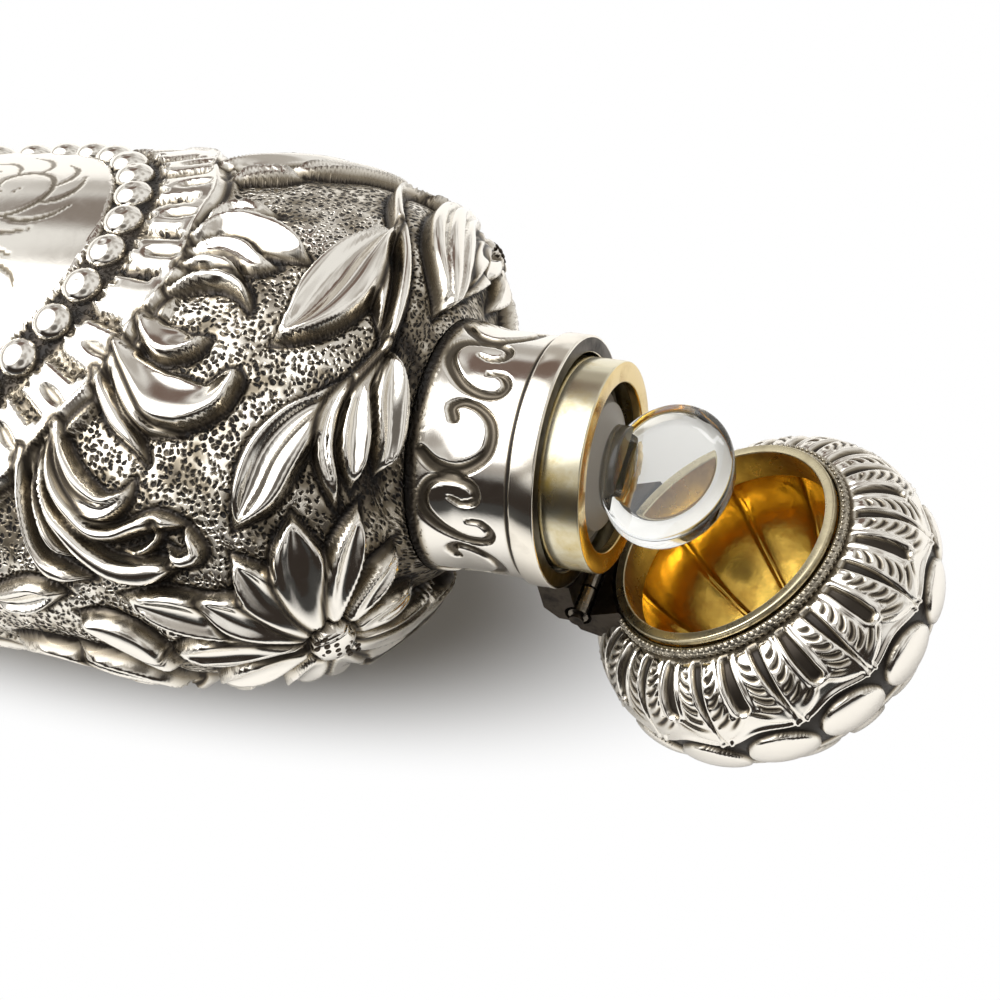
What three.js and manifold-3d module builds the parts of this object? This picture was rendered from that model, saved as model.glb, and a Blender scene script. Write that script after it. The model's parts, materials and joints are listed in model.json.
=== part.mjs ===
// Perfume flask: a flattened pear-shaped silver case, raised in two halves round a glass bottle,
// with a plain neck, a gilt collar, a ground glass stopper and a lobed cap on a knuckle hinge.
// It lies on its back with the cap open, as it is put down in use.
//
// Lengths are millimetres. Each piece is made on the flask's own axis: Z runs up the neck from the
// ledge that the closed cap meets, X points to the hinge at the back and Y runs along the hinge pin.
// The flask is then laid down: its neck points along the part's +X and its front faces +Z.

import * as THREE from 'three';
import { mergeVertices } from 'three/addons/utils/BufferGeometryUtils.js';
import Module from 'manifold-3d';

const wasm = await Module();
wasm.setup();

// Clearances
const seatGap = 0.3;
const glassGap = 0.6;
const pinClearance = 0.05;
const knuckleEndGap = 0.2;

// Case: an oval, pear-shaped shell
const caseHalfWidth = 23.9;
const caseHalfDepth = 16.8;
const caseLength = 93.6;
const shoulderDrop = 19.6;
const kneeRise = 20;
const kneeHalfWidth = 17;
const kneeHalfDepth = 12.2;
const caseWall = 0.8;
const caseSegments = 56;

// Neck, band and collar
const neckRadius = 9.6;
const neckFlare = 0.5;
const neckLength = 8.4;
const neckWall = 0.8;
const bandRadius = 10;
const bandHeight = 2;
const collarRadius = 8.34;
const collarWall = 0.8;
const collarBoreRadius = 6.67;
const collarRise = 3.05;
const collarFaceThickness = 0.85;
const collarSkirt = 7;
const ringSegments = 48;

// Glass bottle
const glassWall = 1.8;
const glassNeckRadius = 6.1;
const glassMouthRadius = 4.6;
const glassMouthDepth = 1.85;
const glassShoulderDrop = 5;
const groundLength = 9;
const groundTaper = 0.05;
const glassSegments = 32;
const packingDepth = 6.5;

// Stopper
const finialHalfWidth = 6.15;
const finialHalfHeight = 5.1;
const finialThickness = 3.2;
const finialEdge = 1.5;
const finialFace = 0.8;
const finialTurnDeg = 8;
const stopperFlangeRadius = 5.1;
const stopperFlange = 0.7;
const stopperStemRadius = 3.4;

// Cap
const capMouthRadius = 8.95;
const capRimRadius = 9.76;
const capRimThickness = 0.8;
const capSkirtWall = 0.4;
const capSkirt = 2.4;
const capWireRadius = 0.4;
const capShellStart = 2.1;
const capShellRadius = 10.9;
const capBellyRadius = 14.5;
const capBellyHeight = 7.4;
const capHeight = 19.4;
const capWall = 0.7;
const capLobes = 12;
const capLobeSegments = 8;
const bossHeight = 0.7;
const fluteDepth = 0.45;
const fluteTwistDeg = 9;
const capOffset = 0.15;
const capOpenDeg = 67;

// Hinge
const hingeOffset = 11.8;
const hingeLength = 12.8;
const knuckleRadius = 0.85;
const pinRadius = 0.4;
const pinHead = 0.25;
const pinHeadRadius = 0.6;
const knuckleCount = 5;
const blockDepth = 2.9;
const blockReach = 0.9;

const deg = Math.PI / 180;
const openAngle = capOpenDeg * deg;

// Finishes
const silver = { color: 0xd8d6d0, metalness: 1, roughness: 0.22 };
const oxidised = { color: 0x5c554a, metalness: 1, roughness: 0.5 };
const gilt = { color: 0xe6cf96, metalness: 1, roughness: 0.2 };
const clearGlass = { color: 0xe9efec, metalness: 0, roughness: 0.05, transparent: true, opacity: 0.4 };
const plaster = { color: 0x8a8272, metalness: 0, roughness: 0.9 };

// One closed skin: shared corners are merged, and triangles without area at the poles are dropped.
function closedSkin(geometry) {
  const bare = new THREE.BufferGeometry();
  bare.setAttribute('position', geometry.getAttribute('position').clone());
  bare.setIndex(geometry.getIndex() ? [...geometry.getIndex().array] : null);
  const merged = mergeVertices(bare, 1e-4);
  const index = merged.getIndex().array;
  const kept = [];
  for (let i = 0; i < index.length; i += 3) {
    const [a, b, c] = [index[i], index[i + 1], index[i + 2]];
    if (a !== b && b !== c && c !== a) kept.push(a, b, c);
  }
  merged.setIndex(kept);
  return merged;
}

function toSolid(geometry) {
  const skin = closedSkin(geometry);
  return new wasm.Manifold(new wasm.Mesh({
    numProp: 3,
    vertProperties: new Float32Array(skin.getAttribute('position').array),
    triVerts: new Uint32Array(skin.getIndex().array),
  }));
}

function toGeometry(solid) {
  const mesh = solid.getMesh();
  const geometry = new THREE.BufferGeometry();
  geometry.setAttribute('position', new THREE.BufferAttribute(new Float32Array(mesh.vertProperties), 3));
  geometry.setIndex(new THREE.BufferAttribute(new Uint32Array(mesh.triVerts), 1));
  return geometry;
}

// Turns a profile of [radius, height] corners about Z. The corners run anticlockwise.
function revolve(profile, segments = ringSegments) {
  const points = profile.map(([radius, height]) => new THREE.Vector2(radius, height));
  const geometry = new THREE.LatheGeometry(points, segments);
  geometry.rotateX(Math.PI / 2);
  return geometry;
}

// A ring or tube between two radii and two heights.
function tube(inner, outer, low, high, segments = ringSegments) {
  return revolve([[inner, low], [outer, low], [outer, high], [inner, high], [inner, low]], segments);
}

// Turns a profile of [half width, half depth, height] corners, flattened from round along X.
function revolveOval(profile, segments) {
  const geometry = revolve(profile.map(([width, , height]) => [width, height]), segments);
  const position = geometry.getAttribute('position');
  for (let i = 0; i < position.count; i += 1) {
    const [width, depth] = profile[i % profile.length];
    const squash = width > 0 ? depth / width : 1;
    position.setX(i, position.getX(i) * squash);
  }
  return geometry;
}

// A rod along Y about the axis through (x, z).
function rodAlongY(radius, length, x = 0, z = 0, segments = 20) {
  const geometry = new THREE.CylinderGeometry(radius, radius, length, segments);
  geometry.translate(x, 0, z);
  return geometry;
}

function block(low, high) {
  const size = high.map((value, i) => value - low[i]);
  const geometry = new THREE.BoxGeometry(...size);
  geometry.translate(...low.map((value, i) => value + size[i] / 2));
  return geometry;
}

// A flat outline in X and Z, pulled to a length along Y about Y = 0.
function pullAlongY(outline, length) {
  const shape = new THREE.Shape(outline.map(([x, z]) => new THREE.Vector2(x, z)));
  const geometry = new THREE.ExtrudeGeometry(shape, { depth: length, bevelEnabled: false });
  geometry.translate(0, 0, -length / 2);
  geometry.rotateX(Math.PI / 2);
  return geometry;
}

function piece(name, geometry, finish) {
  const mesh = new THREE.Mesh(closedSkin(geometry), new THREE.MeshStandardMaterial(finish));
  mesh.name = name;
  return mesh;
}

// The pear's outline from its tip to the root of its neck, drawn in by an inset from the case's
// outer face. Each point is [half width, half depth, height].
const rootHeight = -bandHeight - neckLength;
const tipHeight = rootHeight - caseLength;

function pearOutline(inset, rootRadius, rootZ, steps) {
  const wide = caseHalfWidth - inset;
  const deep = caseHalfDepth - inset;
  const wideZ = rootHeight - shoulderDrop;
  const kneeZ = tipHeight + kneeRise;
  const kneeWide = kneeHalfWidth - inset;
  const kneeDeep = kneeHalfDepth - inset;
  const endZ = tipHeight + inset;
  const flank = wideZ - kneeZ;
  const tip = new THREE.CubicBezierCurve3(
    new THREE.Vector3(0, 0, endZ),
    new THREE.Vector3(kneeWide * 0.5, kneeDeep * 0.53, endZ),
    new THREE.Vector3(kneeWide * 0.85, kneeDeep * 0.86, kneeZ - (kneeZ - endZ) * 0.5),
    new THREE.Vector3(kneeWide, kneeDeep, kneeZ),
  );
  const side = new THREE.CubicBezierCurve3(
    new THREE.Vector3(kneeWide, kneeDeep, kneeZ),
    new THREE.Vector3(kneeWide + (wide - kneeWide) * 0.52, kneeDeep + (deep - kneeDeep) * 0.52, kneeZ + flank * 0.26),
    new THREE.Vector3(wide, deep, wideZ - flank * 0.4),
    new THREE.Vector3(wide, deep, wideZ),
  );
  const shoulder = new THREE.CubicBezierCurve3(
    new THREE.Vector3(wide, deep, wideZ),
    new THREE.Vector3(wide, deep, wideZ + (rootZ - wideZ) * 0.64),
    new THREE.Vector3(rootRadius + (wide - rootRadius) * 0.62, rootRadius + (deep - rootRadius) * 0.62, rootZ),
    new THREE.Vector3(rootRadius, rootRadius, rootZ),
  );
  const points = [
    ...tip.getPoints(steps).slice(0, -1),
    ...side.getPoints(steps).slice(0, -1),
    ...shoulder.getPoints(steps + 2),
  ];
  return points.map((point) => [point.x, point.y, point.z]);
}

// Case: one hollow pear, parted down its sides into the front and back halves
const neckBore = neckRadius - neckWall;
const caseOuter = pearOutline(0, neckRadius + neckFlare, rootHeight, 7);
const caseInner = pearOutline(caseWall, neckBore, rootHeight - caseWall, 6);

function caseShell() {
  const mouth = [neckBore, neckBore, rootHeight];
  return toSolid(revolveOval([...caseOuter, mouth, ...caseInner.toReversed()], caseSegments));
}

function caseHalf(side) {
  const reach = caseHalfWidth + bandRadius;
  const near = seatGap / 2;
  const low = [side > 0 ? near : -reach, -reach, tipHeight - reach];
  const high = [side > 0 ? reach : -near, reach, rootHeight + reach];
  return toGeometry(caseShell().intersect(toSolid(block(low, high))));
}

// Neck tube, standing on the case and flared a little at its foot
function neckTube() {
  const low = rootHeight + seatGap;
  const high = -bandHeight - seatGap;
  const flareTop = low + (high - low) * 0.25;
  return revolve([
    [neckBore, low], [neckRadius + neckFlare, low], [neckRadius + neckFlare * 0.3, (low + flareTop) / 2],
    [neckRadius, flareTop], [neckRadius, high], [neckBore, high], [neckBore, low],
  ]);
}

// Collar: a skirt inside the neck, and a flat face turned in over the glass
function giltCollar() {
  const skirtBore = collarRadius - collarWall;
  const faceLow = collarRise - collarFaceThickness;
  const round = 0.2;
  return revolve([
    [skirtBore, -collarSkirt], [collarRadius, -collarSkirt], [collarRadius, collarRise - round],
    [collarRadius - round, collarRise], [collarBoreRadius, collarRise], [collarBoreRadius, faceLow],
    [skirtBore, faceLow], [skirtBore, -collarSkirt],
  ]);
}

// Glass bottle: its body lines the case, its neck is ground inside to take the stopper
const mouthHeight = collarRise - glassMouthDepth;
const groundEndRadius = glassMouthRadius - groundLength * groundTaper;

function glassBottle() {
  const outerInset = caseWall + glassGap;
  const innerInset = outerInset + glassWall;
  const outerRoot = rootHeight - glassShoulderDrop;
  const outer = pearOutline(outerInset, glassNeckRadius, outerRoot, 5);
  const inner = pearOutline(innerInset, groundEndRadius, outerRoot - glassWall, 4);
  const neck = [
    [glassNeckRadius, glassNeckRadius, mouthHeight],
    [glassMouthRadius, glassMouthRadius, mouthHeight],
    [groundEndRadius, groundEndRadius, mouthHeight - groundLength],
  ];
  return revolveOval([...outer, ...neck, ...inner.toReversed()], glassSegments);
}

// Packing: the plaster ring that holds the glass neck in the collar
function neckPacking() {
  const inner = glassNeckRadius + seatGap;
  const outer = collarRadius - collarWall - seatGap;
  return tube(inner, outer, mouthHeight - seatGap - packingDepth, mouthHeight - seatGap);
}

// Stopper: a bevelled oval finial on a short stem, a flange over the glass and a ground plug
const plugTop = mouthHeight + seatGap;

function stopper() {
  const plugBottom = mouthHeight - groundLength + seatGap;
  const plugGap = glassMouthRadius - seatGap;
  const flangeTop = plugTop + stopperFlange;
  const centre = flangeTop + finialHalfHeight - stopperFlange;
  const plug = revolve([
    [0, plugBottom], [groundEndRadius - seatGap, plugBottom], [plugGap, plugTop],
    [stopperFlangeRadius, plugTop], [stopperFlangeRadius, flangeTop],
    [stopperStemRadius, flangeTop + stopperFlange], [stopperStemRadius, centre - finialHalfHeight * 0.4],
    [0, centre - finialHalfHeight * 0.4],
  ], glassSegments);
  const half = finialThickness / 2;
  const edge = finialEdge / 2;
  const face = finialHalfWidth * finialFace;
  const finial = revolve([
    [0, -half], [face, -half], [finialHalfWidth, -edge], [finialHalfWidth, edge], [face, half], [0, half],
  ], 40);
  finial.rotateY(Math.PI / 2);
  finial.scale(1, 1, finialHalfHeight / finialHalfWidth);
  finial.rotateZ(finialTurnDeg * deg);
  finial.translate(0, 0, centre);
  return toGeometry(toSolid(plug).add(toSolid(finial)));
}

// Cap shell: a bun with a ring of bosses over a ring of flutes and leaves. The rows run from the
// mouth to the crown, and each row says how much of the bosses and of the flutes it carries.
function capRows(inset, steps) {
  const belly = capBellyRadius - inset;
  const crown = capHeight - inset;
  const lower = new THREE.CubicBezierCurve(
    new THREE.Vector2(capShellRadius - inset, capShellStart),
    new THREE.Vector2(capShellRadius - inset + (capBellyRadius - capShellRadius) * 0.7, capShellStart + 0.6),
    new THREE.Vector2(belly, capBellyHeight - (capBellyHeight - capShellStart) * 0.5),
    new THREE.Vector2(belly, capBellyHeight),
  );
  const upper = new THREE.CubicBezierCurve(
    new THREE.Vector2(belly, capBellyHeight),
    new THREE.Vector2(belly, capBellyHeight + (crown - capBellyHeight) * 0.5),
    new THREE.Vector2(belly * 0.5, crown),
    new THREE.Vector2(0, crown),
  );
  return [...lower.getPoints(steps).slice(0, -1), ...upper.getPoints(steps + 2)];
}

// A soft window: 0 outside low and high, 1 half way between them.
function hump(value, low, high) {
  const t = (value - low) / (high - low);
  return t <= 0 || t >= 1 ? 0 : Math.sin(Math.PI * t) ** 0.8;
}

function capShell() {
  const outer = capRows(0, 7);
  const inner = capRows(capWall, 6);
  const rows = [...inner.toReversed(), ...outer];
  const geometry = revolve(rows.map((row) => [row.x, row.y]), capLobes * capLobeSegments);
  const position = geometry.getAttribute('position');
  const bossLow = capBellyHeight + (capHeight - capBellyHeight) * 0.2;
  const bossHigh = capBellyHeight + (capHeight - capBellyHeight) * 0.8;
  const fluteLow = capShellStart + 0.4;
  const bottom = new THREE.Vector3();
  for (let i = 0; i < position.count; i += 1) {
    bottom.fromBufferAttribute(position, i);
    const radius = Math.hypot(bottom.x, bottom.y);
    if (radius === 0) continue;
    const rise = bottom.z / capHeight;
    const turn = Math.atan2(bottom.y, bottom.x) + fluteTwistDeg * deg * rise;
    const boss = bossHeight * hump(bottom.z, bossLow, bossHigh) * Math.abs(Math.cos((capLobes / 2) * turn));
    const flute = fluteDepth * hump(bottom.z, fluteLow, bossLow + 0.6) * (0.5 + 0.5 * Math.cos(2 * capLobes * turn));
    const grown = (radius + boss - flute) / radius;
    position.setXYZ(i, bottom.x * grown, bottom.y * grown, bottom.z + boss * 0.6 * rise);
  }
  return toGeometry(toSolid(geometry).subtract(toSolid(hingeNotch())));
}

// Room for the hinge block in the cap's shell and wire
function hingeNotch() {
  const width = hingeLength / 2 + seatGap;
  const start = Math.sqrt(capRimRadius ** 2 - width ** 2);
  return block([start, -width, 0], [hingeOffset + blockReach + seatGap, width, blockDepth + seatGap]);
}

// Bezel: the flat rim that meets the ledge, with a skirt up inside the shell
function capBezel() {
  const skirtRadius = capMouthRadius + capSkirtWall;
  return revolve([
    [capMouthRadius, 0], [capRimRadius, 0], [capRimRadius, capRimThickness], [skirtRadius, capRimThickness],
    [skirtRadius, capRimThickness + capSkirt], [capMouthRadius, capRimThickness + capSkirt], [capMouthRadius, 0],
  ]);
}

// Wire: the round milled wire in the groove between bezel and shell
function capWire() {
  const centreRadius = capShellRadius - 2 * capWall + capWall;
  const centreHeight = (capRimThickness + capShellStart) / 2;
  const sides = 8;
  const section = [];
  for (let i = 0; i <= sides; i += 1) {
    const turn = (i / sides) * 2 * Math.PI;
    section.push([
      centreRadius + capWireRadius * Math.cos(turn),
      centreHeight + capWireRadius * Math.sin(turn),
    ]);
  }
  return toGeometry(toSolid(revolve(section)).subtract(toSolid(hingeNotch())));
}

// Hinge blocks: each carries its own knuckles and clears the other leaf's
const knucklePocket = knuckleRadius + seatGap;

function hingeBlock(side, innerRadius, innerOffset) {
  const start = Math.sqrt(innerRadius ** 2 - (hingeLength / 2) ** 2);
  const outline = [
    [start, side * seatGap / 2],
    [hingeOffset - seatGap, side * seatGap / 2],
    [hingeOffset + blockReach, side * blockReach * 0.88],
    [hingeOffset + blockReach, side * blockDepth * 0.62],
    [hingeOffset - blockReach * 0.4, side * blockDepth],
    [start, side * blockDepth],
  ];
  const tall = 2 * blockDepth;
  const ring = revolve([[0, -tall], [innerRadius, -tall], [innerRadius, tall], [0, tall]]);
  ring.translate(innerOffset, 0, 0);
  const body = toSolid(pullAlongY(side > 0 ? outline : outline.toReversed(), hingeLength));
  const pocket = toSolid(rodAlongY(knucklePocket, hingeLength * 2, hingeOffset));
  return toGeometry(body.subtract(toSolid(ring)).subtract(pocket));
}

const knuckleLength = (hingeLength - (knuckleCount - 1) * knuckleEndGap) / knuckleCount;

function knuckle() {
  const bore = pinRadius + pinClearance;
  const geometry = tube(bore, knuckleRadius, -knuckleLength / 2, knuckleLength / 2, 20);
  geometry.rotateX(Math.PI / 2);
  return geometry;
}

// Pin: a rod with a small head past each outer knuckle
function hingePin() {
  const half = hingeLength / 2 + seatGap;
  const end = half + pinHead;
  const geometry = revolve([
    [0, -end], [pinHeadRadius, -end], [pinHeadRadius, -half], [pinRadius, -half],
    [pinRadius, half], [pinHeadRadius, half], [pinHeadRadius, end], [0, end],
  ], 16);
  geometry.rotateX(Math.PI / 2);
  return geometry;
}

// Assembly on the flask's own axis
const flask = new THREE.Group();
const cap = new THREE.Group();
const capPieces = new THREE.Group();
flask.add(
  piece('case_front', caseHalf(-1), silver),
  piece('case_back', caseHalf(1), silver),
  piece('neck_tube', neckTube(), silver),
  piece('neck_band', tube(collarRadius + seatGap, bandRadius, -bandHeight, 0), silver),
  piece('gilt_collar', giltCollar(), gilt),
  piece('glass_bottle', glassBottle(), clearGlass),
  piece('neck_packing', neckPacking(), plaster),
  piece('glass_stopper', stopper(), clearGlass),
  piece('neck_hinge_block', hingeBlock(-1, bandRadius + seatGap, 0), oxidised),
);
capPieces.add(
  piece('cap_shell', capShell(), silver),
  piece('cap_bezel', capBezel(), silver),
  piece('cap_wire', capWire(), silver),
);
capPieces.position.x = capOffset - hingeOffset;

const capBlock = piece('cap_hinge_block', hingeBlock(1, capRimRadius + seatGap, capOffset), oxidised);
capBlock.position.x = -hingeOffset;
cap.add(capPieces, capBlock);
cap.position.x = hingeOffset;
cap.rotation.y = openAngle;
flask.add(cap);

for (let i = 0; i < knuckleCount; i += 1) {
  const onNeck = i % 2 === 0;
  const tubePiece = piece(`${onNeck ? 'neck' : 'cap'}_knuckle_${Math.floor(i / 2) + 1}`, knuckle(), silver);
  tubePiece.position.y = -hingeLength / 2 + knuckleLength / 2 + i * (knuckleLength + knuckleEndGap);
  if (onNeck) {
    tubePiece.position.x = hingeOffset;
    flask.add(tubePiece);
  } else {
    cap.add(tubePiece);
  }
}
const pin = piece('hinge_pin', hingePin(), silver);
pin.position.x = hingeOffset;
flask.add(pin);

// The flask lies on its case's back and its open cap: the tilt that brings both to the table
const capOutlineX = capRows(0, 24).map((row) => [row.x + (row.y > capBellyHeight ? bossHeight * 0.8 : 0), row.y]);

function lowestOfCase(tilt) {
  const heights = caseOuter.map(([, depth, height]) => -depth * Math.cos(tilt) + height * Math.sin(tilt));
  return Math.min(...heights);
}

function lowestOfCap(tilt) {
  const turn = openAngle;
  const heights = capOutlineX.map(([radius, height]) => {
    const fromPin = radius + capOffset - hingeOffset;
    const x = hingeOffset + fromPin * Math.cos(turn) + height * Math.sin(turn);
    const z = -fromPin * Math.sin(turn) + height * Math.cos(turn);
    return -x * Math.cos(tilt) + z * Math.sin(tilt);
  });
  return Math.min(...heights);
}

let tiltLow = 0;
let tiltHigh = 40 * deg;
for (let i = 0; i < 40; i += 1) {
  const middle = (tiltLow + tiltHigh) / 2;
  if (lowestOfCap(middle) < lowestOfCase(middle)) tiltLow = middle;
  else tiltHigh = middle;
}
const restTilt = (tiltLow + tiltHigh) / 2;

// Laid down, with the part's origin at the bottom centre of its box
const part = new THREE.Group();
part.add(flask);
flask.rotation.y = Math.PI / 2 - restTilt;
part.updateMatrixWorld(true);
const box = new THREE.Box3().setFromObject(part, true);
flask.position.set(-(box.min.x + box.max.x) / 2, -(box.min.y + box.max.y) / 2, -box.min.z);

export default part;
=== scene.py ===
import json
import math

import bpy
import numpy as np
from mathutils import Matrix, Vector


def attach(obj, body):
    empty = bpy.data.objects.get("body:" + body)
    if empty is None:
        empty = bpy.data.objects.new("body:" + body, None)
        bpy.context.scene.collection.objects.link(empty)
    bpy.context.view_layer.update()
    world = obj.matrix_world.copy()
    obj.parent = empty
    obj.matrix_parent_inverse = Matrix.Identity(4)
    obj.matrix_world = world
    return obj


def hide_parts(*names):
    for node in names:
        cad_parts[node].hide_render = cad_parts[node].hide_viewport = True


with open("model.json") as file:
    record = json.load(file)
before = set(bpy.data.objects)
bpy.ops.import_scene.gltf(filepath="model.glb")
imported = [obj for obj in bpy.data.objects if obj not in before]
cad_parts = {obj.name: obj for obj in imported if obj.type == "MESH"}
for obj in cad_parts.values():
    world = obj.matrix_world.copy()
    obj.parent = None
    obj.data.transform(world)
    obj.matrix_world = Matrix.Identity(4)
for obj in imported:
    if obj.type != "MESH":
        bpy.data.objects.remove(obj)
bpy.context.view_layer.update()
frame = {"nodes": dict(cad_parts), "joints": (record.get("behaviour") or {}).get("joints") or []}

MM = 0.001
NEARLY_ZERO = 1e-6

# Case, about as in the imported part: half widths, half depths and heights along the neck's axis
CASE_HALF_WIDTH, CASE_HALF_DEPTH, CASE_LENGTH = 23.9, 16.8, 93.6
SHOULDER_DROP = 19.6
KNEE_RISE, KNEE_HALF_WIDTH, KNEE_HALF_DEPTH = 20.0, 17.0, 12.2
ROOT_HEIGHT, ROOT_RADIUS = -10.4, 10.1
CASE_WALL = 0.8

# Neck, collar and glass
NECK_RADIUS, NECK_WALL = 9.6, 0.8
BAND_RADIUS, BAND_HEIGHT = 10.0, 2.0
COLLAR_RADIUS, COLLAR_WALL, COLLAR_BORE = 8.34, 0.8, 6.67
COLLAR_RISE, COLLAR_FACE, COLLAR_SKIRT = 3.05, 0.85, 7.0
GLASS_NECK_RADIUS, GLASS_MOUTH_RADIUS, GLASS_MOUTH_HEIGHT = 6.1, 4.6, 1.2
GROUND_LENGTH, GROUND_END_RADIUS = 9.0, 4.15
GLASS_WALL = 1.8

# Stopper
FINIAL_HALF_WIDTH, FINIAL_HALF_HEIGHT, FINIAL_THICKNESS = 6.15, 5.1, 3.2
FINIAL_EDGE, FINIAL_FACE = 1.5, 0.8
FINIAL_CENTRE, FINIAL_TURN = 7.4, math.radians(8)
STOPPER_FLANGE_RADIUS, STOPPER_STEM_RADIUS = 5.1, 3.4

# Cap and hinge
CAP_MOUTH_RADIUS, CAP_RIM_RADIUS, CAP_RIM_THICKNESS = 8.95, 9.76, 0.8
CAP_SHELL_START, CAP_SHELL_RADIUS = 1.7, 10.35
CAP_BELLY_RADIUS, CAP_BELLY_HEIGHT, CAP_HEIGHT = 14.36, 7.4, 19.34
CAP_REST, CAP_WIRE_MIDDLE, CAP_WALL, CAP_LOBES = 0.15, 10.05, 0.9, 14
CAP_OFFSET, CAP_OPEN = 0.15, math.radians(67)
HINGE_OFFSET = 11.8

# The flask's axes in the row frame: back (towards the hinge), side (along the pin), up the neck
joints = {joint["name"]: joint for joint in frame["joints"]}
up = np.array(joints["stopper_lift"]["axis"], float)
AXES = np.stack([np.array([up[2], 0, -up[0]]), np.array([0.0, 1.0, 0.0]), up])
LEDGE = np.array(joints["cap_hinge"]["pos_m"], float) - HINGE_OFFSET * MM * AXES[0]


def to_row(points):
    """Points on the flask's own axis, in mm, to the row frame in metres."""
    return LEDGE + (np.asarray(points, float) * MM) @ AXES


def cap_to_flask(points):
    """Points on the cap's own axis to the flask's, with the cap open as it lies at rest."""
    points = np.asarray(points, float)
    x = points[..., 0] + CAP_OFFSET - HINGE_OFFSET
    y, z = points[..., 1], points[..., 2]
    c, s = math.cos(CAP_OPEN), math.sin(CAP_OPEN)
    return np.stack([HINGE_OFFSET + x * c + z * s, y, -x * s + z * c], -1)


def smooth(value, low, high):
    """0 below low, 1 above high, and a soft step between."""
    t = np.clip((value - low) / (high - low), 0, 1)
    return t * t * (3 - 2 * t)


# Colours and shader nodes
def srgb(code):
    """A hex colour as it is seen, turned to linear."""
    parts = [int(code[i : i + 2], 16) / 255 for i in (1, 3, 5)]
    return tuple(c / 12.92 if c < 0.04045 else ((c + 0.055) / 1.055) ** 2.4 for c in parts) + (1.0,)


def add(tree, kind, inputs=None, **settings):
    """Adds a node of a kind, named without its prefix, with its settings. Its inputs come by name or
    number, or in order as a list. An input is a value, a socket, or a node, which stands for the first
    output that it has in use."""
    prefixes = ("ShaderNode", "GeometryNode", "FunctionNode", "")
    made = tree.nodes.new(next(prefix + kind for prefix in prefixes if hasattr(bpy.types, prefix + kind)))
    for name, value in settings.items():
        setattr(made, name, value)
    for socket, value in inputs.items() if isinstance(inputs, dict) else enumerate(inputs or ()):
        if isinstance(value, bpy.types.Node):
            value = next(output for output in value.outputs if output.enabled)
        if isinstance(value, bpy.types.NodeSocket):
            tree.links.new(value, made.inputs[socket])
        else:
            made.inputs[socket].default_value = value
    return made


# For a map range that goes over softly
SOFT = {"interpolation_type": "SMOOTHSTEP"}


def new_material(name):
    """A material and its node tree, emptied."""
    made = bpy.data.materials.new(name)
    made.use_nodes = True
    made.node_tree.nodes.clear()
    return made, made.node_tree


# Meshes
def new_mesh(name, points, faces, fields=None):
    """A smooth mesh from points in the row frame; fields are numbers or vectors kept on its points."""
    mesh = bpy.data.meshes.new(name)
    points = np.asarray(points, np.float32)
    faces = [np.asarray(f, np.int32) for f in faces if len(f)]
    mesh.vertices.add(len(points))
    mesh.vertices.foreach_set("co", points.ravel())
    loops = np.concatenate([f.ravel() for f in faces])
    sizes = np.concatenate([np.full(len(f), f.shape[1], np.int32) for f in faces])
    mesh.loops.add(len(loops))
    mesh.loops.foreach_set("vertex_index", loops)
    mesh.polygons.add(len(sizes))
    mesh.polygons.foreach_set("loop_start", np.concatenate([[0], np.cumsum(sizes)[:-1]]).astype(np.int32))
    mesh.update(calc_edges=True)
    mesh.polygons.foreach_set("use_smooth", np.ones(len(sizes), bool))
    for field, values in (fields or {}).items():
        values = np.asarray(values, np.float32)
        if values.ndim == 1:
            mesh.attributes.new(field, "FLOAT", "POINT").data.foreach_set("value", values)
        else:
            mesh.attributes.new(field, "FLOAT_VECTOR", "POINT").data.foreach_set("vector", values.ravel())
    mesh.validate()
    return mesh


def new_piece(name, mesh, material, body, stands_for=()):
    """Puts a finished mesh in the scene on its body, with its finish and the nodes that it stands for."""
    made = bpy.data.objects.new(name, mesh)
    bpy.context.scene.collection.objects.link(made)
    if material is not None:
        mesh.materials.append(material)
    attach(made, body)
    if stands_for:
        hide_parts(*stands_for)
    return made


def sheet_faces(rows, columns, wrap):
    """Quads of a grid of points, row by row."""
    r = np.arange(rows - 1)[:, None]
    c = np.arange(columns if wrap else columns - 1)[None, :]
    n = (c + 1) % columns
    quads = np.stack([r * columns + c, r * columns + n, (r + 1) * columns + n, (r + 1) * columns + c], -1)
    return quads.reshape(-1, 4)


def fan_faces(rows, columns, wrap):
    """Triangles from the last row of a grid of points to the one point that comes after the grid."""
    c = np.arange(columns if wrap else columns - 1)
    last = (rows - 1) * columns
    return np.stack([last + c, last + (c + 1) % columns, np.full(len(c), rows * columns)], 1)


def skin_mesh(name, points, extra, faces, chart, dark, matted, spare_dark=0.0, place=to_row):
    """A skin of a grid of points and some extra ones after it, with what its silver finish reads: a chart
    in mm, and how dark and how matted each point is."""
    tail = np.zeros(len(extra))
    flat = np.stack([*chart, 0 * chart[0]], -1).reshape(-1, 3)
    fields = {"dark": np.concatenate([dark.ravel(), tail + spare_dark])}
    fields["matted"] = np.concatenate([matted.ravel(), tail])
    fields["chart"] = np.concatenate([flat, np.zeros((len(extra), 3))])
    return new_mesh(name, place(np.concatenate([points.reshape(-1, 3), extra])), faces, fields)


def rounded(profile, radius, steps=4):
    """A closed profile of (radius, height) with its corners off the axis turned to small arcs."""
    points = [np.array(p, float) for p in profile]
    out = []
    for i, here in enumerate(points):
        before, after = points[i - 1], points[(i + 1) % len(points)]
        if here[0] < NEARLY_ZERO:
            out.append(here)
            continue
        a, b = before - here, after - here
        reach = min(radius, 0.45 * np.linalg.norm(a), 0.45 * np.linalg.norm(b))
        start, end = here + a / np.linalg.norm(a) * reach, here + b / np.linalg.norm(b) * reach
        for t in np.linspace(0, 1, steps):
            out.append((1 - t) ** 2 * start + 2 * (1 - t) * t * here + t * t * end)
    return out


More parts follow.
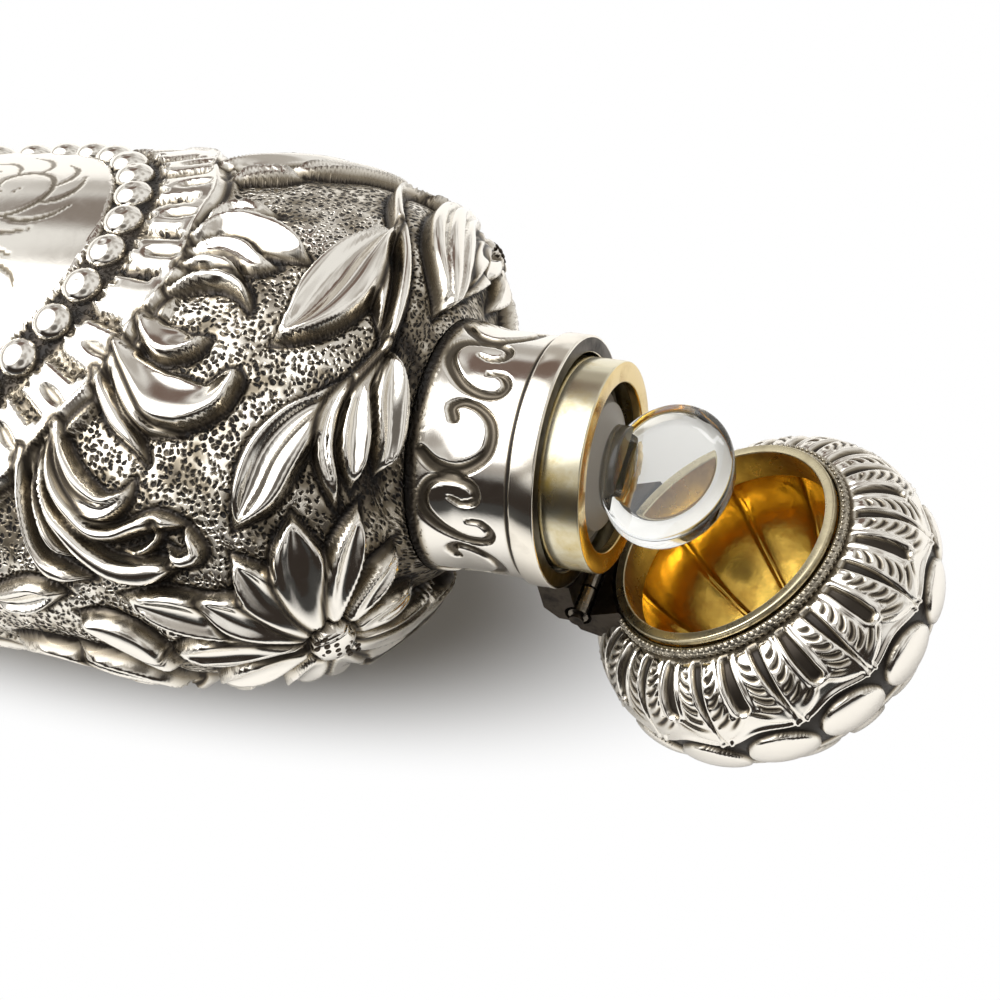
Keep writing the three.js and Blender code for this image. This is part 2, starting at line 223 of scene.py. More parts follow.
def lathe(profile, segments, place=to_row, squash=None, sharp=40):
    """A closed body turned from a counter-clockwise profile of (radius, height)."""
    turn = np.linspace(0, 2 * math.pi, segments, endpoint=False)
    on_axis = [i for i, p in enumerate(profile) if p[0] < NEARLY_ZERO]
    rings, index, points = [], 0, []
    for i, p in enumerate(profile):
        if i in on_axis:
            points.append([[0.0, 0.0, p[1]]])
            rings.append(np.full(segments, index))
            index += 1
        else:
            deep = p[0] if squash is None else squash[i]
            points.append(np.stack([deep * np.cos(turn), p[0] * np.sin(turn), np.full(segments, p[1])], 1))
            rings.append(np.arange(index, index + segments))
            index += segments
    quads, triangles = [], []
    for i in range(len(profile)):
        j = (i + 1) % len(profile)
        a, b = rings[i], rings[j]
        if i in on_axis and j in on_axis:
            continue
        an, bn = np.roll(a, -1), np.roll(b, -1)
        if i in on_axis:
            triangles.append(np.stack([a, bn, b], 1))
        elif j in on_axis:
            triangles.append(np.stack([a, an, b], 1))
        else:
            quads.append(np.stack([a, an, bn, b], 1))
    faces = [np.concatenate(kind) for kind in (quads, triangles) if kind]
    mesh = new_mesh("turned", place(np.concatenate([np.asarray(p, float) for p in points])), faces)
    mesh.set_sharp_from_angle(angle=math.radians(sharp))
    return mesh


def between(a, b, c, d, t):
    """From b to c by t, on a curve that a and d bend too."""
    square, cube = 2 * a - 5 * b + 4 * c - d, 3 * b - a - 3 * c + d
    return 0.5 * (2 * b + (c - a) * t + square * t**2 + cube * t**3)


def filled(values, share):
    """Values given at even steps of a line, filled in softly at shares of it."""
    v = np.array(values, float)
    v = np.concatenate([[2 * v[0] - v[1]], v, [2 * v[-1] - v[-2]]])
    place = np.clip(share, 0, 1) * (len(v) - 3)
    k = np.minimum(place.astype(int), len(v) - 4)
    return np.maximum(between(v[k], v[k + 1], v[k + 2], v[k + 3], place - k), 0)


# Chased relief: forms laid along lines on a surface. Each has a sloping wall and a set-in line round it.
SET_IN_WIDTH, SET_IN_DEPTH, WALL_WIDTH = 0.26, 0.22, 0.6
# How many places of a line are measured from at a time
AT_A_TIME = 16


class Relief:
    """Heights over points on a surface, in mm, and how polished and how dark each point is."""

    def __init__(self, points, normals, ground):
        self.points, self.normals = points, normals
        self.height = np.array(ground, float)
        self.polish = np.zeros(len(points))
        self.line = np.zeros(len(points))

    def measure(self, route, reach):
        """For the points near a line: their numbers, distance, side and share of the way along it."""
        low, high = route.min(0) - reach, route.max(0) + reach
        chosen = np.nonzero(((self.points >= low) & (self.points <= high)).all(1))[0]
        if not len(chosen):
            return chosen, None, None, None
        here = self.points[chosen]
        best = np.full(len(chosen), 1e9)
        nearest = np.zeros(len(chosen), int)
        for k in range(0, len(route), AT_A_TIME):
            gap = ((here[:, None, :] - route[None, k : k + AT_A_TIME]) ** 2).sum(-1)
            found = gap.argmin(1)
            least = gap[np.arange(len(chosen)), found]
            better = least < best
            best[better] = least[better]
            nearest[better] = found[better] + k
        along = np.gradient(route, axis=0)
        along /= np.linalg.norm(along, axis=1, keepdims=True) + 1e-9
        from_line = here - route[nearest]
        forward = (from_line * along[nearest]).sum(1)
        inner = (nearest > 0) & (nearest < len(route) - 1)
        step = np.linalg.norm(route[1] - route[0])
        forward = np.where(inner, np.clip(forward, -step, step), forward)
        clear = from_line - np.where(inner, forward, 0)[:, None] * along[nearest]
        distance = np.linalg.norm(clear, axis=1)
        side = np.sign((from_line * np.cross(self.normals[chosen], along[nearest])).sum(1))
        share = np.clip((nearest + forward / step) / (len(route) - 1), 0, 1)
        return chosen, distance, side, share

    def chase(self, route, widths, shape, rise):
        """Raises one form: widths are half widths at even shares of the line, shape its cross section."""
        chosen, distance, side, share = self.measure(route, max(widths) + 1.2)
        if not len(chosen):
            return
        half = filled(widths, share) + 1e-3
        q = np.clip(distance / half, 0, 1.5) * side
        inside = smooth(half - distance, -0.08, WALL_WIDTH)
        top = rise * shape(np.clip(q, -1, 1), share) * smooth(half, 0, 0.9)
        self.height[chosen] += (top - self.height[chosen]) * inside
        polished = smooth(half - distance, -0.15, 0.1)
        self.polish[chosen] += (1 - self.polish[chosen]) * polished
        self.line[chosen] *= 1 - polished
        out = np.maximum(distance - half, 0)
        groove = np.exp(-((out / SET_IN_WIDTH) ** 2)) * (1 - inside)
        self.height[chosen] -= SET_IN_DEPTH * groove
        self.line[chosen] = np.maximum(self.line[chosen], groove)

    def cut(self, route, widths, depth, dark):
        """Cuts a groove along a line, and darkens it."""
        chosen, distance, _, share = self.measure(route, max(widths) + 0.8)
        if not len(chosen):
            return
        half = filled(widths, share) + 1e-3
        inside = np.clip(1 - (distance / half) ** 2, 0, 1)
        self.height[chosen] -= depth * inside
        self.line[chosen] = np.maximum(self.line[chosen], dark * smooth(inside, 0.1, 0.7))


# Cross sections of chased forms: q runs from -1 to 1 across, share from 0 to 1 along
def full(q, share):
    """A half-round."""
    return 0.05 + 0.95 * np.sqrt(np.clip(1 - q * q, 0, 1))


def hollow(q, share):
    """A leaf with a rolled edge, and a hollow with a vein in it to one side of its middle."""
    off = np.abs(q + 0.16 * (1 - q * q))
    dish = 0.14 + 0.86 * smooth(off, 0.02, 0.64)
    vein = 0.1 * np.exp(-(((q + 0.16) / 0.1) ** 2)) * smooth(share, 0.05, 0.3)
    return dish * np.sqrt(np.clip(1 - q**6, 0, 1)) + vein


def veined(q, share):
    """A half-round with a groove down its middle."""
    return (0.1 + 0.9 * np.sqrt(np.clip(1 - q * q, 0, 1))) * (1 - 0.55 * np.exp(-((q / 0.16) ** 2)))


def rolled(q, share):
    """A scroll that rises to one side, where its edge rolls over, from a hollow at the other."""
    rise = 0.16 + 0.84 * smooth(q, -0.75, 0.72)
    return rise * np.sqrt(np.clip(1 - q**6, 0, 1)) + 0.12 * np.exp(-(((q + 0.86) / 0.12) ** 2))


def rolled_back(q, share):
    """The same to the other side."""
    return rolled(-q, share)


def bud_petals(q, share):
    """A bud of three petals with two seams."""
    seams = np.exp(-(((np.abs(q) - 0.34) / 0.1) ** 2)) * smooth(share, 0.12, 0.3)
    return full(q, share) * (1 - 0.6 * seams)


def spooned(q, share):
    """A petal with a raised rim and a hollow that fades towards its root."""
    clear = smooth(share, 0.1, 0.5)
    dish = 0.4 + 0.6 * smooth(np.abs(q), 0.1, 0.8) * clear + 0.25 * (1 - clear)
    return dish * np.sqrt(np.clip(1 - q**6, 0, 1))


# The case's base surface
def bezier(points, count):
    """Even shares of a cubic curve."""
    p = np.array(points, float)
    t = np.linspace(0, 1, count)[:, None]
    return (1 - t) ** 3 * p[0] + 3 * (1 - t) ** 2 * t * p[1] + 3 * (1 - t) * t * t * p[2] + t**3 * p[3]


def pear_outline(count=300):
    """Half width, half depth and height from the neck's root to the tip, with the length along it."""
    tip_height = ROOT_HEIGHT - CASE_LENGTH
    wide, deep = CASE_HALF_WIDTH, CASE_HALF_DEPTH
    wide_height, knee_height = ROOT_HEIGHT - SHOULDER_DROP, tip_height + KNEE_RISE
    knee_wide, knee_deep = KNEE_HALF_WIDTH, KNEE_HALF_DEPTH
    flank, fall = wide_height - knee_height, wide_height - ROOT_HEIGHT
    flank_wide, flank_deep = knee_wide + (wide - knee_wide) * 0.52, knee_deep + (deep - knee_deep) * 0.52
    neck_wide, neck_deep = (ROOT_RADIUS + (half - ROOT_RADIUS) * 0.62 for half in (wide, deep))
    tip = [(0, 0, tip_height), (knee_wide * 0.5, knee_deep * 0.53, tip_height)]
    tip += [(knee_wide * 0.85, knee_deep * 0.86, (knee_height + tip_height) / 2)]
    tip += [(knee_wide, knee_deep, knee_height)]
    side = [tip[3], (flank_wide, flank_deep, knee_height + flank * 0.26)]
    side += [(wide, deep, wide_height - flank * 0.4), (wide, deep, wide_height)]
    shoulder = [side[3], (wide, deep, wide_height - fall * 0.64), (neck_wide, neck_deep, ROOT_HEIGHT)]
    shoulder += [(ROOT_RADIUS, ROOT_RADIUS, ROOT_HEIGHT)]
    curves = [bezier(tip, count)[:-1], bezier(side, count)[:-1], bezier(shoulder, count)]
    whole = np.concatenate(curves)[::-1]
    steps = np.hypot(np.diff((whole[:, 0] + whole[:, 1]) / 2), np.diff(whole[:, 2]))
    return whole, np.concatenate([[0], np.cumsum(steps)])


OUTLINE, ALONG = pear_outline()
CASE_RUN = ALONG[-1]
TURNS = np.linspace(-math.pi, math.pi, 721)


def case_surface(turn, along):
    """Points of the case at a turn from its front centre line and a distance along it."""
    wide, deep, height = (np.interp(along, ALONG, OUTLINE[:, k]) for k in range(3))
    return np.stack([-deep * np.cos(turn), wide * np.sin(turn), height + 0 * turn], -1)


def case_normals(turn, along):
    """Outward directions of the case's base surface."""
    step = 0.05
    low, high = np.clip(along - step, 0, CASE_RUN), np.clip(along + step, 0, CASE_RUN)
    down = case_surface(turn, high) - case_surface(turn, low)
    round_ = case_surface(turn + 0.004, along) - case_surface(turn - 0.004, along)
    normal = np.cross(round_, down)
    length = np.linalg.norm(normal, axis=-1, keepdims=True)
    normal = np.where(length > 1e-9, normal / np.maximum(length, 1e-9), [0.0, 0.0, -1.0])
    outward = (normal * (case_surface(turn, along) - np.array([0, 0, -50.0]))).sum(-1, keepdims=True)
    return np.where(outward < 0, -normal, normal)


def girth(along):
    """Length round the section from the front centre line, at each of TURNS."""
    wide, deep, _ = (np.interp(along, ALONG, OUTLINE[:, k]) for k in range(3))
    rate = np.hypot(deep * np.sin(TURNS), wide * np.cos(TURNS))
    run = np.concatenate([[0], np.cumsum((rate[1:] + rate[:-1]) / 2 * (TURNS[1] - TURNS[0]))])
    return run - run[len(run) // 2]


def smooth_line(places, spacing=0.35):
    """A soft curve through places, at even steps."""
    p = np.array(places, float)
    p = np.vstack([2 * p[0] - p[1], p, 2 * p[-1] - p[-2]])
    out = []
    for i in range(1, len(p) - 2):
        t = np.linspace(0, 1, 12, endpoint=i == len(p) - 3)[:, None]
        out.append(between(*p[i - 1 : i + 3], t))
    line = np.concatenate(out)
    run = np.concatenate([[0], np.cumsum(np.linalg.norm(np.diff(line, axis=0), axis=1))])
    count = max(3, int(run[-1] / spacing) + 1)
    even = np.linspace(0, run[-1], count)
    return np.stack([np.interp(even, run, side) for side in line.T], 1)


def turn_at(across, along, turned):
    """The turn of a place on the case's front, or on its back for what is turned there."""
    return np.array(np.interp(across, girth(along), TURNS) + (math.pi if turned else 0))


def on_case(places, turned):
    """A line on the case's front, or turned to its back, through (across, along) places."""
    out = []
    for across, along in smooth_line(places):
        along = float(np.clip(along, 0.3, CASE_RUN - 0.3))
        out.append(case_surface(turn_at(across, along, turned), np.array(along)))
    return np.array(out)


# Ornament of the case, as (places, half widths, section, rise), over and under each other in this order.
# A place is (across the front from its centre line, along from the neck), in mm.
SCROLLS = [
    ([(15.4, 27.8), (17.2, 25.2), (19.0, 22.8), (21.2, 21.0), (24.5, 20.0), (27.5, 21.5)],
     (0.7, 1.5, 1.9, 1.4, 0.9, 0.3), rolled, 1.0),
    ([(17.0, 23.0), (18.4, 20.8), (20.4, 18.6), (22.6, 17.0), (25.0, 14.5)], (0.3, 1.1, 1.6, 1.5, 0.1),
     hollow, 0.85),
    ([(12.6, 26.0), (14.4, 24.6), (15.4, 22.6), (16.2, 20.6)], (0.3, 1.0, 1.0, 0.1), hollow, 0.8),
    ([(5.2, 24.4), (7.6, 23.4), (8.4, 21.6), (8.8, 19.2)], (0.4, 1.0, 0.9, 0.1), hollow, 0.8),
    ([(3.8, 24.2), (5.6, 22.4), (5.2, 19.6), (4.6, 17.0), (3.7, 14.2)], (0.7, 1.5, 1.9, 1.3, 0.0),
     rolled, 1.15),
    ([(2.2, 24.0), (3.2, 22.2), (3.0, 20.4), (2.2, 18.6), (2.6, 16.6)], (0.5, 1.2, 1.3, 1.0, 0.1),
     hollow, 0.7),
    ([(0.6, 24.2), (1.4, 22.6), (1.2, 20.8), (0.2, 18.6)], (0.4, 0.8, 0.9, 0.2), full, 0.8),
    ([(-1.9, 24.0), (-0.6, 22.4), (-0.1, 20.4), (-0.8, 18.4), (-2.2, 17.2)], (0.5, 0.75, 0.8, 0.7, 0.2),
     full, 0.95),
    ([(-4.6, 25.2), (-5.6, 24.0), (-6.4, 22.4), (-6.2, 20.6), (-5.2, 19.2)], (0.6, 1.3, 1.7, 1.2, 0.1),
     rolled_back, 1.0),
    ([(-7.2, 26.2), (-9.0, 24.4), (-10.6, 22.2), (-11.0, 19.8), (-10.2, 17.6), (-8.4, 16.6)],
     (0.7, 1.4, 2.1, 2.3, 1.7, 1.1), rolled_back, 1.25),
    ([(-8.2, 26.6), (-10.2, 25.2), (-12.2, 23.6), (-13.4, 21.8), (-13.3, 19.2)],
     (0.4, 0.7, 0.8, 0.5, 0.2), full, 0.8),
    ([(-9.6, 27.4), (-11.4, 26.0), (-13.2, 24.4), (-14.6, 22.6), (-15.8, 21.6)],
     (0.4, 0.8, 0.95, 0.8, 0.3), full, 0.85),
]
FAN = [
    ([(-16.4, 32.0), (-19.4, 31.6), (-21.8, 30.9), (-23.8, 30.0), (-25.2, 28.4), (-25.6, 25.0)],
     (0.4, 0.6, 0.65, 0.7, 0.9, 0.1), full, 0.9),
    ([(-16.2, 30.8), (-19.2, 30.4), (-21.5, 29.5), (-23.3, 28.0), (-24.2, 25.8)],
     (0.3, 0.5, 0.6, 0.7, 0.1), full, 0.85),
    ([(-14.2, 29.4), (-16.8, 28.6), (-18.9, 27.0), (-19.8, 24.6), (-18.8, 22.8), (-17.2, 22.2)],
     (0.6, 1.2, 1.6, 1.5, 0.9, 0.1), hollow, 1.0),
    ([(-15.3, 30.0), (-17.4, 29.5), (-19.2, 28.4), (-20.8, 26.7), (-21.7, 25.0), (-21.6, 23.2),
      (-20.8, 21.6), (-20.1, 20.0), (-19.9, 17.6)],
     (0.4, 0.6, 0.7, 0.75, 0.8, 0.8, 0.8, 0.9, 0.3), full, 0.95),
    ([(-16.0, 30.3), (-18.5, 29.9), (-20.6, 28.8), (-22.3, 26.8), (-23.6, 24.8), (-24.3, 22.8),
      (-24.1, 20.6), (-22.9, 17.8)],
     (0.3, 0.5, 0.65, 0.9, 1.0, 1.1, 1.2, 0.4), full, 1.15),
    ([(-20.3, 19.8), (-21.5, 19.8), (-22.6, 20.9), (-22.9, 22.6)], (0.3, 0.45, 0.5, 0.2), full, 0.9),
    ([(-20.4, 17.4), (-21.8, 16.6), (-22.6, 17.8), (-21.9, 18.9)], (0.5, 0.8, 0.8, 0.3), full, 0.8),
]
STEMS = [
    ([(24.4, 6.5), (25.2, 9.5), (23.6, 12.4), (20.4, 13.8), (17.0, 13.1), (12.7, 11.2), (9.9, 9.5),
      (7.0, 7.9), (3.7, 6.6), (0.7, 5.9), (-1.6, 5.5)],
     (0.2, 0.35, 0.45, 0.55, 0.65, 0.75, 0.75, 0.75, 0.8, 0.8, 0.6), full, 1.0),
    ([(9.0, 10.6), (5.8, 9.2), (2.6, 8.0), (-0.6, 6.6)], (0.2, 0.75, 0.8, 0.2), full, 0.85),
    ([(10.8, 10.2), (8.0, 10.7), (5.0, 11.1), (2.0, 11.4), (-0.8, 12.1), (-2.9, 13.1), (-4.8, 14.8)],
     (0.3, 1.3, 2.3, 2.9, 2.7, 1.6, 0.0), hollow, 1.1),
    ([(25.5, 9.6), (22.5, 9.5), (19.0, 8.8), (15.0, 7.3), (11.0, 5.5), (7.5, 3.6), (3.7, 1.7)],
     (0.5, 1.6, 2.1, 2.4, 2.3, 1.7, 0.0), bud_petals, 1.25),
    ([(23.0, 6.6), (20.0, 5.6), (17.2, 4.4), (13.8, 2.8)], (0.1, 1.2, 1.2, 0.0), hollow, 0.9),
    ([(-1.6, 5.5), (-5.2, 7.0), (-8.2, 8.9), (-10.6, 10.6), (-13.2, 11.8), (-16.2, 12.6), (-19.6, 14.0)],
     (0.5, 0.6, 1.1, 1.9, 2.3, 1.9, 0.0), hollow, 1.15),
    ([(-5.6, 7.6), (-8.6, 8.2), (-11.4, 8.0), (-13.6, 7.0), (-15.6, 6.0)], (0.3, 0.8, 0.9, 0.8, 0.0),
     hollow, 0.85),
    ([(-2.6, 5.2), (-6.0, 6.2), (-9.0, 5.9), (-11.2, 5.6), (-13.5, 5.2)], (0.4, 0.6, 1.3, 1.3, 0.0),
     hollow, 0.95),
    ([(-1.8, 4.6), (-5.0, 3.6), (-8.0, 2.8), (-11.4, 3.0)], (0.4, 1.6, 1.4, 0.0), hollow, 1.0),
]
FLOWER_CENTRE = (-27.4, 7.8)
PETALS = [
    ((-36.6, 5.4), 1.5), ((-38.8, 9.6), 1.6), ((-38.6, 13.6), 1.6), ((-36.4, 18.2), 1.7),
    ((-31.6, 20.2), 1.5), ((-26.6, 23.2), 1.8), ((-25.4, 16.8), 1.7), ((-21.2, 14.2), 1.7),
    ((-16.6, 9.8), 2.1), ((-13.4, 4.4), 1.5), ((-15.0, 0.9), 1.3), ((-21.0, 0.9), 1.2),
    ((-28.6, 1.2), 1.2), ((-34.5, 2.0), 1.3),
]
EDGE_LEAVES = [
    ([(-28.8, 35.4), (-28.4, 32.4), (-27.6, 29.8), (-27.4, 27.6)], (0.4, 1.4, 1.5, 0.0), hollow, 0.95),
    ([(-29.2, 27.6), (-29.6, 25.0), (-30.8, 22.2), (-33.4, 19.6)], (0.0, 1.3, 1.5, 0.4), full, 1.0),
    ([(-33.0, 29.0), (-34.6, 26.0), (-36.0, 22.6), (-38.4, 20.0)], (0.0, 1.4, 1.6, 0.2), hollow, 1.0),
    ([(29.2, 35.0), (29.6, 31.0), (28.4, 27.2), (25.4, 24.8), (22.6, 25.4), (22.4, 27.6)],
     (0.3, 1.2, 1.7, 1.6, 1.2, 0.5), rolled, 1.0),
]
# Below the plate: each of these is there twice, to each side of the middle
FOOT = [
    ([(27.0, 40.0), (28.4, 46.0), (28.6, 53.0), (27.0, 60.0), (24.0, 65.0)], (0.0, 1.6, 2.0, 1.6, 0.4),
     rolled, 1.0),
    ([(22.6, 78.0), (23.4, 72.0), (21.6, 67.6), (18.4, 68.4), (18.0, 71.4), (20.0, 72.4)],
     (0.2, 1.2, 1.8, 1.6, 1.2, 0.6), rolled_back, 1.05),
    ([(2.0, 80.6), (6.0, 78.4), (10.6, 78.0), (14.4, 80.0), (15.2, 83.6), (12.6, 85.2), (10.8, 83.4)],
     (0.4, 1.2, 1.8, 1.8, 1.4, 1.1, 0.5), rolled, 1.1),
    ([(4.0, 84.0), (7.4, 87.4), (9.0, 92.0), (7.0, 97.0)], (0.2, 1.5, 1.6, 0.0), hollow, 0.95),
    ([(17.6, 79.4), (16.8, 85.0), (14.0, 91.0), (9.4, 97.0)], (0.0, 1.4, 1.7, 0.0), hollow, 0.95),
]
FOOT_MIDDLE = [([(0.0, 81.5), (0.0, 86.0), (0.0, 92.0), (0.0, 101.0)], (0.2, 1.8, 2.2, 0.0), veined, 1.05)]

# The plate with its ring of beads, matted strip and frilled border
PLATE_CENTRE = (1.6, 51.5)
PLATE_RADIUS = 18.2
BEAD_RING, BEAD_RADIUS, BEAD_COUNT = 20.0, 1.7, 33
FRILL_INNER, FRILL_OUTER, FRILL_TABS = 21.9, 27.2, 33
GROUND, BACK_DROP = -0.55, 0.72
# The flower's button, with what its dots stand on
BUTTON_HALF, BUTTON_LEVEL, BUTTON_RISE = 1.85, 0.55, 0.75


def all_forms():
    """Every form of one face in the order of chasing."""
    forms = EDGE_LEAVES + SCROLLS + FAN + STEMS
    mirror = {rolled: rolled_back, rolled_back: rolled}
    for places, widths, section, rise in FOOT:
        other_side = [(-across, along) for across, along in places]
        forms += [(places, widths, section, rise), (other_side, widths, mirror.get(section, section), rise)]
    forms += FOOT_MIDDLE
    cx, cy = FLOWER_CENTRE
    for (tx, ty), half in PETALS:
        places = [(cx + (tx - cx) * s, cy + (ty - cy) * s) for s in (0.12, 0.4, 0.7, 1.0)]
        forms.append((places, (0.6, 0.9 * half, half, 0.0), spooned, 1.05))
    return forms


# Foliage engraved on the plate: one quarter, as (across, towards the neck) from the plate's centre
ENGRAVED_QUARTER = [
    [(0.9, 2.4), (2.6, 4.4), (2.6, 7.0), (3.6, 9.6), (6.2, 11.0), (9.0, 10.0), (9.9, 7.6), (8.6, 5.6),
     (6.6, 5.9), (6.4, 7.5), (7.5, 8.0)],
    [(2.5, 6.0), (1.2, 7.8), (1.0, 10.0), (1.7, 12.2)],
    [(3.0, 8.2), (2.5, 10.6), (3.4, 12.8), (5.2, 14.0)],
    [(5.0, 10.7), (5.8, 12.4), (7.6, 13.2), (9.6, 12.8)],
    [(7.6, 10.8), (9.2, 11.6), (11.0, 11.2), (12.2, 9.6)],
    [(9.8, 8.2), (11.4, 8.4), (13.0, 7.2), (13.8, 5.2)],
    [(9.2, 6.2), (10.8, 5.6), (11.8, 4.2), (11.6, 2.6)],
    [(2.2, 3.8), (4.2, 3.9), (6.0, 3.2), (7.6, 2.6), (9.4, 3.0), (10.2, 4.4)],
    [(1.6, 1.4), (3.4, 1.9), (5.2, 1.3), (7.0, 0.9)],
]
ENGRAVED_HALF_WIDTH, ENGRAVED_DEPTH = 0.28, 0.06


def engrave_plate(relief, turned):
    """Cuts the quarter's strokes into the plate four times over, with a small flower between them."""
    cx, cy = PLATE_CENTRE
    sides = [(sx, sy) for sx in (1, -1) for sy in (1, -1)]
    strokes = [[(sx * x, sy * y) for x, y in stroke] for stroke in ENGRAVED_QUARTER for sx, sy in sides]
    for petal in range(8):
        t = petal * math.pi / 4
        ends = [(t - 0.3, 1.0), (t - 0.16, 1.9), (t, 2.3), (t + 0.16, 1.9), (t + 0.3, 1.0)]
        strokes.append([(r * math.sin(a), r * math.cos(a)) for a, r in ends])
    for stroke in strokes:
        route = on_case([(cx + x, cy - y) for x, y in stroke], turned)
        relief.cut(route, (0.08, ENGRAVED_HALF_WIDTH, ENGRAVED_HALF_WIDTH, 0.05), ENGRAVED_DEPTH, 0.6)


def frill_and_plate(relief, across, along, front):
    """Sets the plate's level, the strip under the beads and the frilled border round it."""
    strip_level, tab_middle, tab_level, lip_width, reach = -0.45, 24.5, 0.2, 0.42, FRILL_OUTER + 1.6
    x, y = across - PLATE_CENTRE[0], PLATE_CENTRE[1] - along
    radius, turn = np.hypot(x, y), np.arctan2(x, y)
    inside = front & (radius < reach)
    cell = turn / (2 * math.pi) * FRILL_TABS
    number = np.round(cell)
    off = (cell - number) * (2 * math.pi / FRILL_TABS) * tab_middle
    uneven = np.mod(number * 7 + 3, 5)
    tab_half = 1.92 + 0.1 * np.mod(number, 3)
    # A tab is a polished tongue with a hollow struck in it; a matted strip parts it from the next
    ragged = 0.3 * np.sin(off * 4.1 + number * 2.3) + 0.2 * np.sin(off * 9.3 + number)
    root = FRILL_INNER + 0.3 + ragged
    tab = smooth(tab_half - np.abs(off), -0.1, 0.5) * smooth(radius, root, root + 0.6)
    strip_end = smooth(radius, 25.0 + 0.2 * uneven, 25.6 + 0.2 * uneven)
    tab = np.maximum(tab, strip_end)
    hollow_at = np.hypot(off / 0.5, (radius - 24.9 - 0.12 * uneven) / 1.5)
    struck = smooth(1.25 - hollow_at, 0, 0.75) * (uneven != 1)
    swell = 0.16 * np.cos(np.clip(off / tab_half, -1, 1) * math.pi / 2)
    top = tab_level + swell + 0.14 * smooth(radius, 23, 26.5) - 0.45 * struck
    lip_at = FRILL_OUTER - 0.25 + 0.26 * np.cos(turn * FRILL_TABS / 2 + 1.0) + 0.12 * np.cos(turn * 9 + 0.5)
    lip = np.exp(-(((radius - lip_at) / lip_width) ** 2))
    under = np.exp(-(((radius - lip_at - 0.95) / 0.4) ** 2))
    level = np.where(radius < PLATE_RADIUS, -0.1, strip_level)
    level += (top - level) * tab
    level = np.maximum(level, strip_level + 1.2 * lip) - 0.4 * under
    edge = smooth(reach - radius, 0, 0.7) * inside
    relief.height += (level - relief.height) * edge
    on_plate = smooth(PLATE_RADIUS + 0.15 - radius, 0, 0.3)
    polished = np.maximum.reduce([on_plate, tab, smooth(lip, 0.35, 0.7)])
    relief.polish += (polished - relief.polish) * edge
    past_plate = smooth(radius, PLATE_RADIUS, PLATE_RADIUS + 0.3)
    gaps = 0.8 * past_plate * smooth(BEAD_RING + BEAD_RADIUS + 0.9 - radius, 0, 1.2)
    strips = 0.4 * (1 - tab) * smooth(lip_at - 0.4 - radius, 0, 0.4) * (radius > FRILL_INNER)
    dark = np.maximum.reduce([under, gaps, strips, 0.45 * smooth(struck, 0.3, 0.9)])
    relief.line += (dark * (1 - 0.7 * lip) - relief.line) * edge


def chase_case(turn, along):
    """The case's relief over a grid of turns and distances along it."""
    base, normals = case_surface(turn, along), case_normals(turn, along)
    rows = np.unique(along)
    across = np.zeros(len(turn))
    for row in rows:
        # Turns past the back's middle go on from it, so that across has no step inside a half
        chosen = along == row
        run = girth(row)
        wrapped = np.mod(turn[chosen] + math.pi, 2 * math.pi) - math.pi
        across[chosen] = np.interp(wrapped, TURNS, run) + np.where(turn[chosen] < -math.pi, 2 * run[0], 0)
    x, y, z = base.T
    wave = 0.06 * np.sin(y * 1.3 + z * 0.7) + 0.05 * np.sin(z * 1.1 - x * 1.7)
    relief = Relief(base, normals, GROUND + wave)
    front = np.abs(np.mod(turn + math.pi, 2 * math.pi) - math.pi) < math.pi / 2 + 0.3
    half_girth = np.interp(along, rows, [girth(row)[-1] for row in rows])
    other = across + np.where(across < 0, 1, -1) * half_girth
    frill_and_plate(relief, across, along, front)
    frill_and_plate(relief, other, along, ~front | (np.abs(other) < FRILL_OUTER + 1.8))
    cx, cy = FLOWER_CENTRE
    for turned in (True, False):
        engrave_plate(relief, turned)
        for places, widths, section, rise in all_forms():
            relief.chase(on_case(places, turned), widths, section, rise)
        middle = on_case([(cx - 0.05, cy), (cx, cy), (cx + 0.05, cy)], turned)
        chosen, distance, _, _ = relief.measure(middle, 3)
        if len(chosen):
            inside = smooth(BUTTON_HALF - 0.1 - distance, -0.05, 0.25)
            dome = np.sqrt(np.clip(1 - (distance / BUTTON_HALF) ** 2, 0, 1))
            top = BUTTON_LEVEL + BUTTON_RISE * dome
            relief.height[chosen] += (top - relief.height[chosen]) * inside
            relief.polish[chosen] += (1 - relief.polish[chosen]) * inside
            rim = np.exp(-(((distance - BUTTON_HALF - 0.1) / 0.25) ** 2))
            relief.height[chosen] -= 0.3 * rim
            relief.line[chosen] = np.maximum(relief.line[chosen] * (1 - inside), rim)
    return relief, across


def blurred(grid, passes):
    """A grid of numbers softened a few times over."""
    for _ in range(passes):
        padded = np.pad(grid, 1, mode="edge")
        grid = (padded[:-2, 1:-1] + padded[2:, 1:-1] + padded[1:-1, :-2] + padded[1:-1, 2:] + 2 * grid) / 6
    return grid


